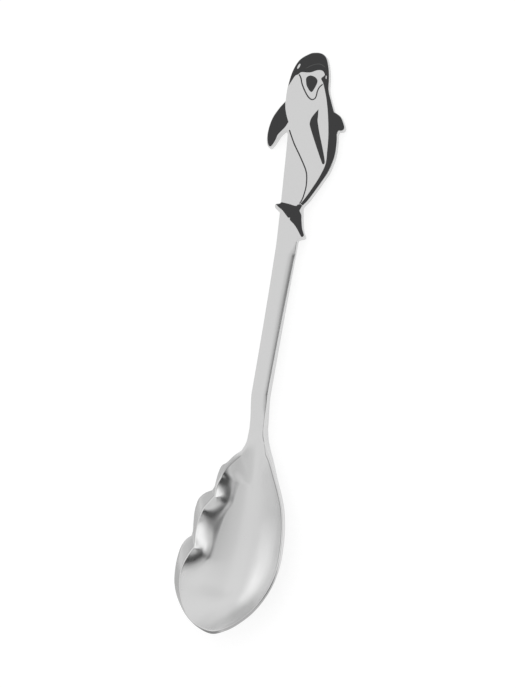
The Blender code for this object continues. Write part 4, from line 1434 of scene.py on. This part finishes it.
@dataclass(frozen=True)
class Card:
    """A card or lamp round the table, as the steel sees it: its middle, its size and its brightness."""

    azimuth: float
    elevation: float
    half_width: float
    half_height: float
    soft: float
    level: float


CARDS = (
    Card(10.0, 86.0, 90.0, 9.0, 6.0, 0.86),
    Card(100.0, 34.0, 35.0, 14.0, 12.0, 1.06),
    Card(17.0, 38.0, 8.0, 12.0, 8.0, 0.4),
    Card(-1.0, 20.0, 13.0, 29.0, 6.0, 0.0),
    Card(15.0, 68.0, 36.0, 6.0, 7.0, 0.65),
    Card(31.0, 54.0, 9.0, 12.0, 4.0, 0.1),
    Card(36.0, 5.0, 20.0, 12.0, 6.0, 1.7),
    Card(150.0, -3.0, 42.0, 6.0, 3.0, 0.42),
    Card(107.0, 1.0, 11.0, 6.0, 5.0, 0.5),
    Card(149.0, 9.5, 12.0, 6.0, 5.0, 1.7),
    Card(-135.0, 2.0, 30.0, 8.0, 6.0, 0.2),
)


@dataclass(frozen=True)
class Studio:
    """White table and surroundings, cards that the steel reflects, and the camera."""

    floor_half: float = 3.0
    floor_glow: float = 0.75
    floor_white: float = 0.32
    soft_light: float = 0.95
    mirror_light: float = 0.78
    # The picture: pixels a millimetre, where the bowl's tip and the middle lie in it, and its own axes.
    scale: float = 4.234
    origin_px: tuple[float, float] = (216.65, 630.2)
    centre_px: tuple[float, float] = (258.0, 344.0)
    frame_px: float = 688.0
    right: tuple[float, float, float] = (0.908, 0.166, -0.383)
    up: tuple[float, float, float] = (-0.0057, 0.922, 0.386)
    origin_y: float = -53.4
    distance: float = 5.5
    farthest: float = 20.0

    def camera(self, pose: TablePose) -> None:
        """Sets the camera square to the picture plane, aimed at the point in the picture's middle.

        Args:
            pose: how the spoon lies on the table.
        """
        right = unit(np.array(self.right))
        up = np.array(self.up)
        up = unit(up - right * float(up @ right))
        across = (self.centre_px[0] - self.origin_px[0]) / self.scale
        along = (self.origin_px[1] - self.centre_px[1]) / self.scale
        plan = np.linalg.solve(np.array([right[:2], up[:2]]), np.array([across, along]))
        target = pose.to_table(np.array([plan[0], plan[1] + self.origin_y, 0.0]))
        axes = pose.turn() @ np.column_stack([right, up, np.cross(right, up)])
        lens = bpy.data.cameras.new("camera")
        lens.lens = self.scale / MM * lens.sensor_width * self.distance / self.frame_px
        lens.clip_end = self.farthest
        stand = bpy.data.objects.new("camera", lens)
        matrix = Matrix(axes.tolist()).to_4x4()
        matrix.translation = Vector((target + axes[:, 2] * self.distance).tolist())
        stand.matrix_world = matrix
        bpy.context.scene.collection.objects.link(stand)
        bpy.context.scene.camera = stand

    def white(self) -> bpy.types.Material:
        """Makes the table's white: it glows for the eye, for gloss and for glass, and still takes a shadow.

        Returns:
            The material.
        """
        made = bpy.data.materials.new("white_table")
        made.use_nodes = True
        tree = made.node_tree
        tree.nodes.clear()
        seen = tree.nodes.new("ShaderNodeLightPath").outputs
        mirrored = add_node(tree, "ShaderNodeMix", {
            "Factor": seen["Is Glossy Ray"], "A": self.floor_glow, "B": self.floor_glow * self.mirror_light})
        direct = add_math(tree, "MAXIMUM", seen["Is Camera Ray"], seen["Is Glossy Ray"])
        direct = add_math(tree, "MAXIMUM", direct, seen["Is Transmission Ray"])
        bright = add_math(tree, "MULTIPLY", direct, mirrored.outputs["Result"])
        glow = add_node(tree, "ShaderNodeEmission", {"Strength": bright})
        grey = (self.floor_white, self.floor_white, self.floor_white, 1.0)
        matt = add_node(tree, "ShaderNodeBsdfDiffuse", {"Color": grey})
        both = add_node(tree, "ShaderNodeAddShader", {0: glow.outputs[0], 1: matt.outputs[0]})
        add_node(tree, "ShaderNodeOutputMaterial", {"Surface": both.outputs[0]})
        return made

    def floor(self) -> None:
        """Lays the white table, which still shows the soft shadow under the spoon."""
        half = self.floor_half
        mesh = bpy.data.meshes.new("table")
        mesh.from_pydata([(-half, -half, 0.0), (half, -half, 0.0), (half, half, 0.0), (-half, half, 0.0)], [],
                         [(0, 1, 2, 3)])
        mesh.materials.append(self.white())
        table = bpy.data.objects.new("table", mesh)
        bpy.context.scene.collection.objects.link(table)

    def world(self) -> None:
        """Surrounds the table with white light: gloss sees the cards in it, and the camera plain white."""
        made = bpy.data.worlds.new("studio")
        made.cycles.sampling_method = "NONE"
        bpy.context.scene.world = made
        made.use_nodes = True
        tree = made.node_tree
        tree.nodes.clear()
        direction = tree.nodes.new("ShaderNodeTexCoord").outputs["Generated"]
        level: Union[float, bpy.types.NodeSocket] = 1.0
        for card in CARDS:
            level = self.show_card(tree, direction, card, level)
        seen = tree.nodes.new("ShaderNodeLightPath").outputs
        gloss = add_node(tree, "ShaderNodeMix", {
            "Factor": seen["Is Glossy Ray"], "A": self.soft_light,
            "B": add_math(tree, "MULTIPLY", level, self.mirror_light)})
        direct = add_math(tree, "MAXIMUM", seen["Is Camera Ray"], seen["Is Transmission Ray"])
        plain = add_node(tree, "ShaderNodeMix", {"Factor": direct, "A": gloss.outputs["Result"], "B": 1.0})
        light = add_node(tree, "ShaderNodeBackground", {
            "Color": (1.0, 1.0, 1.0, 1.0), "Strength": plain.outputs["Result"]})
        add_node(tree, "ShaderNodeOutputWorld", {"Surface": light.outputs[0]})

    @staticmethod
    def show_card(tree: bpy.types.NodeTree, direction: bpy.types.NodeSocket, card: Card,
                  below: Union[float, bpy.types.NodeSocket]) -> bpy.types.NodeSocket:
        """Lays one card over the surroundings, with edges that fade over twice its softness.

        Args:
            tree: the world's nodes.
            direction: the socket that gives the direction looked in.
            card: the card.
            below: the brightness so far.

        Returns:
            The socket with the new brightness.
        """
        a, e = math.radians(card.azimuth), math.radians(card.elevation)
        ahead = Vector((math.cos(a) * math.cos(e), math.sin(a) * math.cos(e), math.sin(e)))
        side = Vector((-math.sin(a), math.cos(a), 0.0))
        dots = [add_node(tree, "ShaderNodeVectorMath", {0: direction, 1: axis}, operation="DOT_PRODUCT")
                for axis in (ahead, side, ahead.cross(side))]
        forward, sideways, upward = (dot.outputs["Value"] for dot in dots)
        masks = []
        for part, half in ((sideways, card.half_width), (upward, card.half_height)):
            angle = add_math(tree, "ABSOLUTE", add_math(tree, "ARCTAN2", part, forward))
            fade = add_node(tree, "ShaderNodeMapRange", {
                "Value": angle, "From Min": math.radians(half + card.soft),
                "From Max": math.radians(max(half - card.soft, 0.0))}, interpolation_type="SMOOTHSTEP")
            masks.append(fade.outputs["Result"])
        mask = add_math(tree, "MULTIPLY", *masks)
        mix = add_node(tree, "ShaderNodeMix", {"Factor": mask, "A": below, "B": card.level})
        return mix.outputs["Result"]


def place(piece: bpy.types.Object, slot: str, *nodes: str) -> None:
    """Ties a piece to the spoon's body and hides the CAD nodes that it stands for.

    Args:
        piece: the piece.
        slot: not used.
        nodes: the CAD nodes that it stands for, if any.
    """
    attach(piece, "root")
    if nodes:
        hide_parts(*nodes)


def main() -> None:
    """Builds the spoon, lays it on the table and lights it."""
    logging.basicConfig(level=logging.INFO, format="%(name)s: %(message)s")
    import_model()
    pose, stem, studio = TablePose(), Stem(), Studio()
    bowl, figure = Bowl(stem, pose), Figure(stem)
    wear = WearGroup()
    steel, enamel, bare = STEEL.material(wear), ENAMEL.material(wear), BARE_LINE.material(wear)

    body = Patchwork(pose)
    for part in (bowl, stem, figure):
        part.add_to(body)
    place(body.build("spoon_steel", steel, STEEL_CREASE), "steel", "spoon_body")
    for fill in Fills:
        work = Patchwork(pose)
        figure.add_fill(work, fill.value)
        place(work.build(fill.value.name, enamel, ENAMEL_CREASE), "enamel", fill.value.node)
    mouth = Patchwork(pose)
    figure.add_mouth(mouth)
    place(mouth.build("mouth_line", bare, LINE_CREASE), "steel")

    studio.floor()
    studio.world()
    studio.camera(pose)
    bpy.context.scene.view_settings.view_transform = "Standard"


if __name__ == "__main__":
    main()
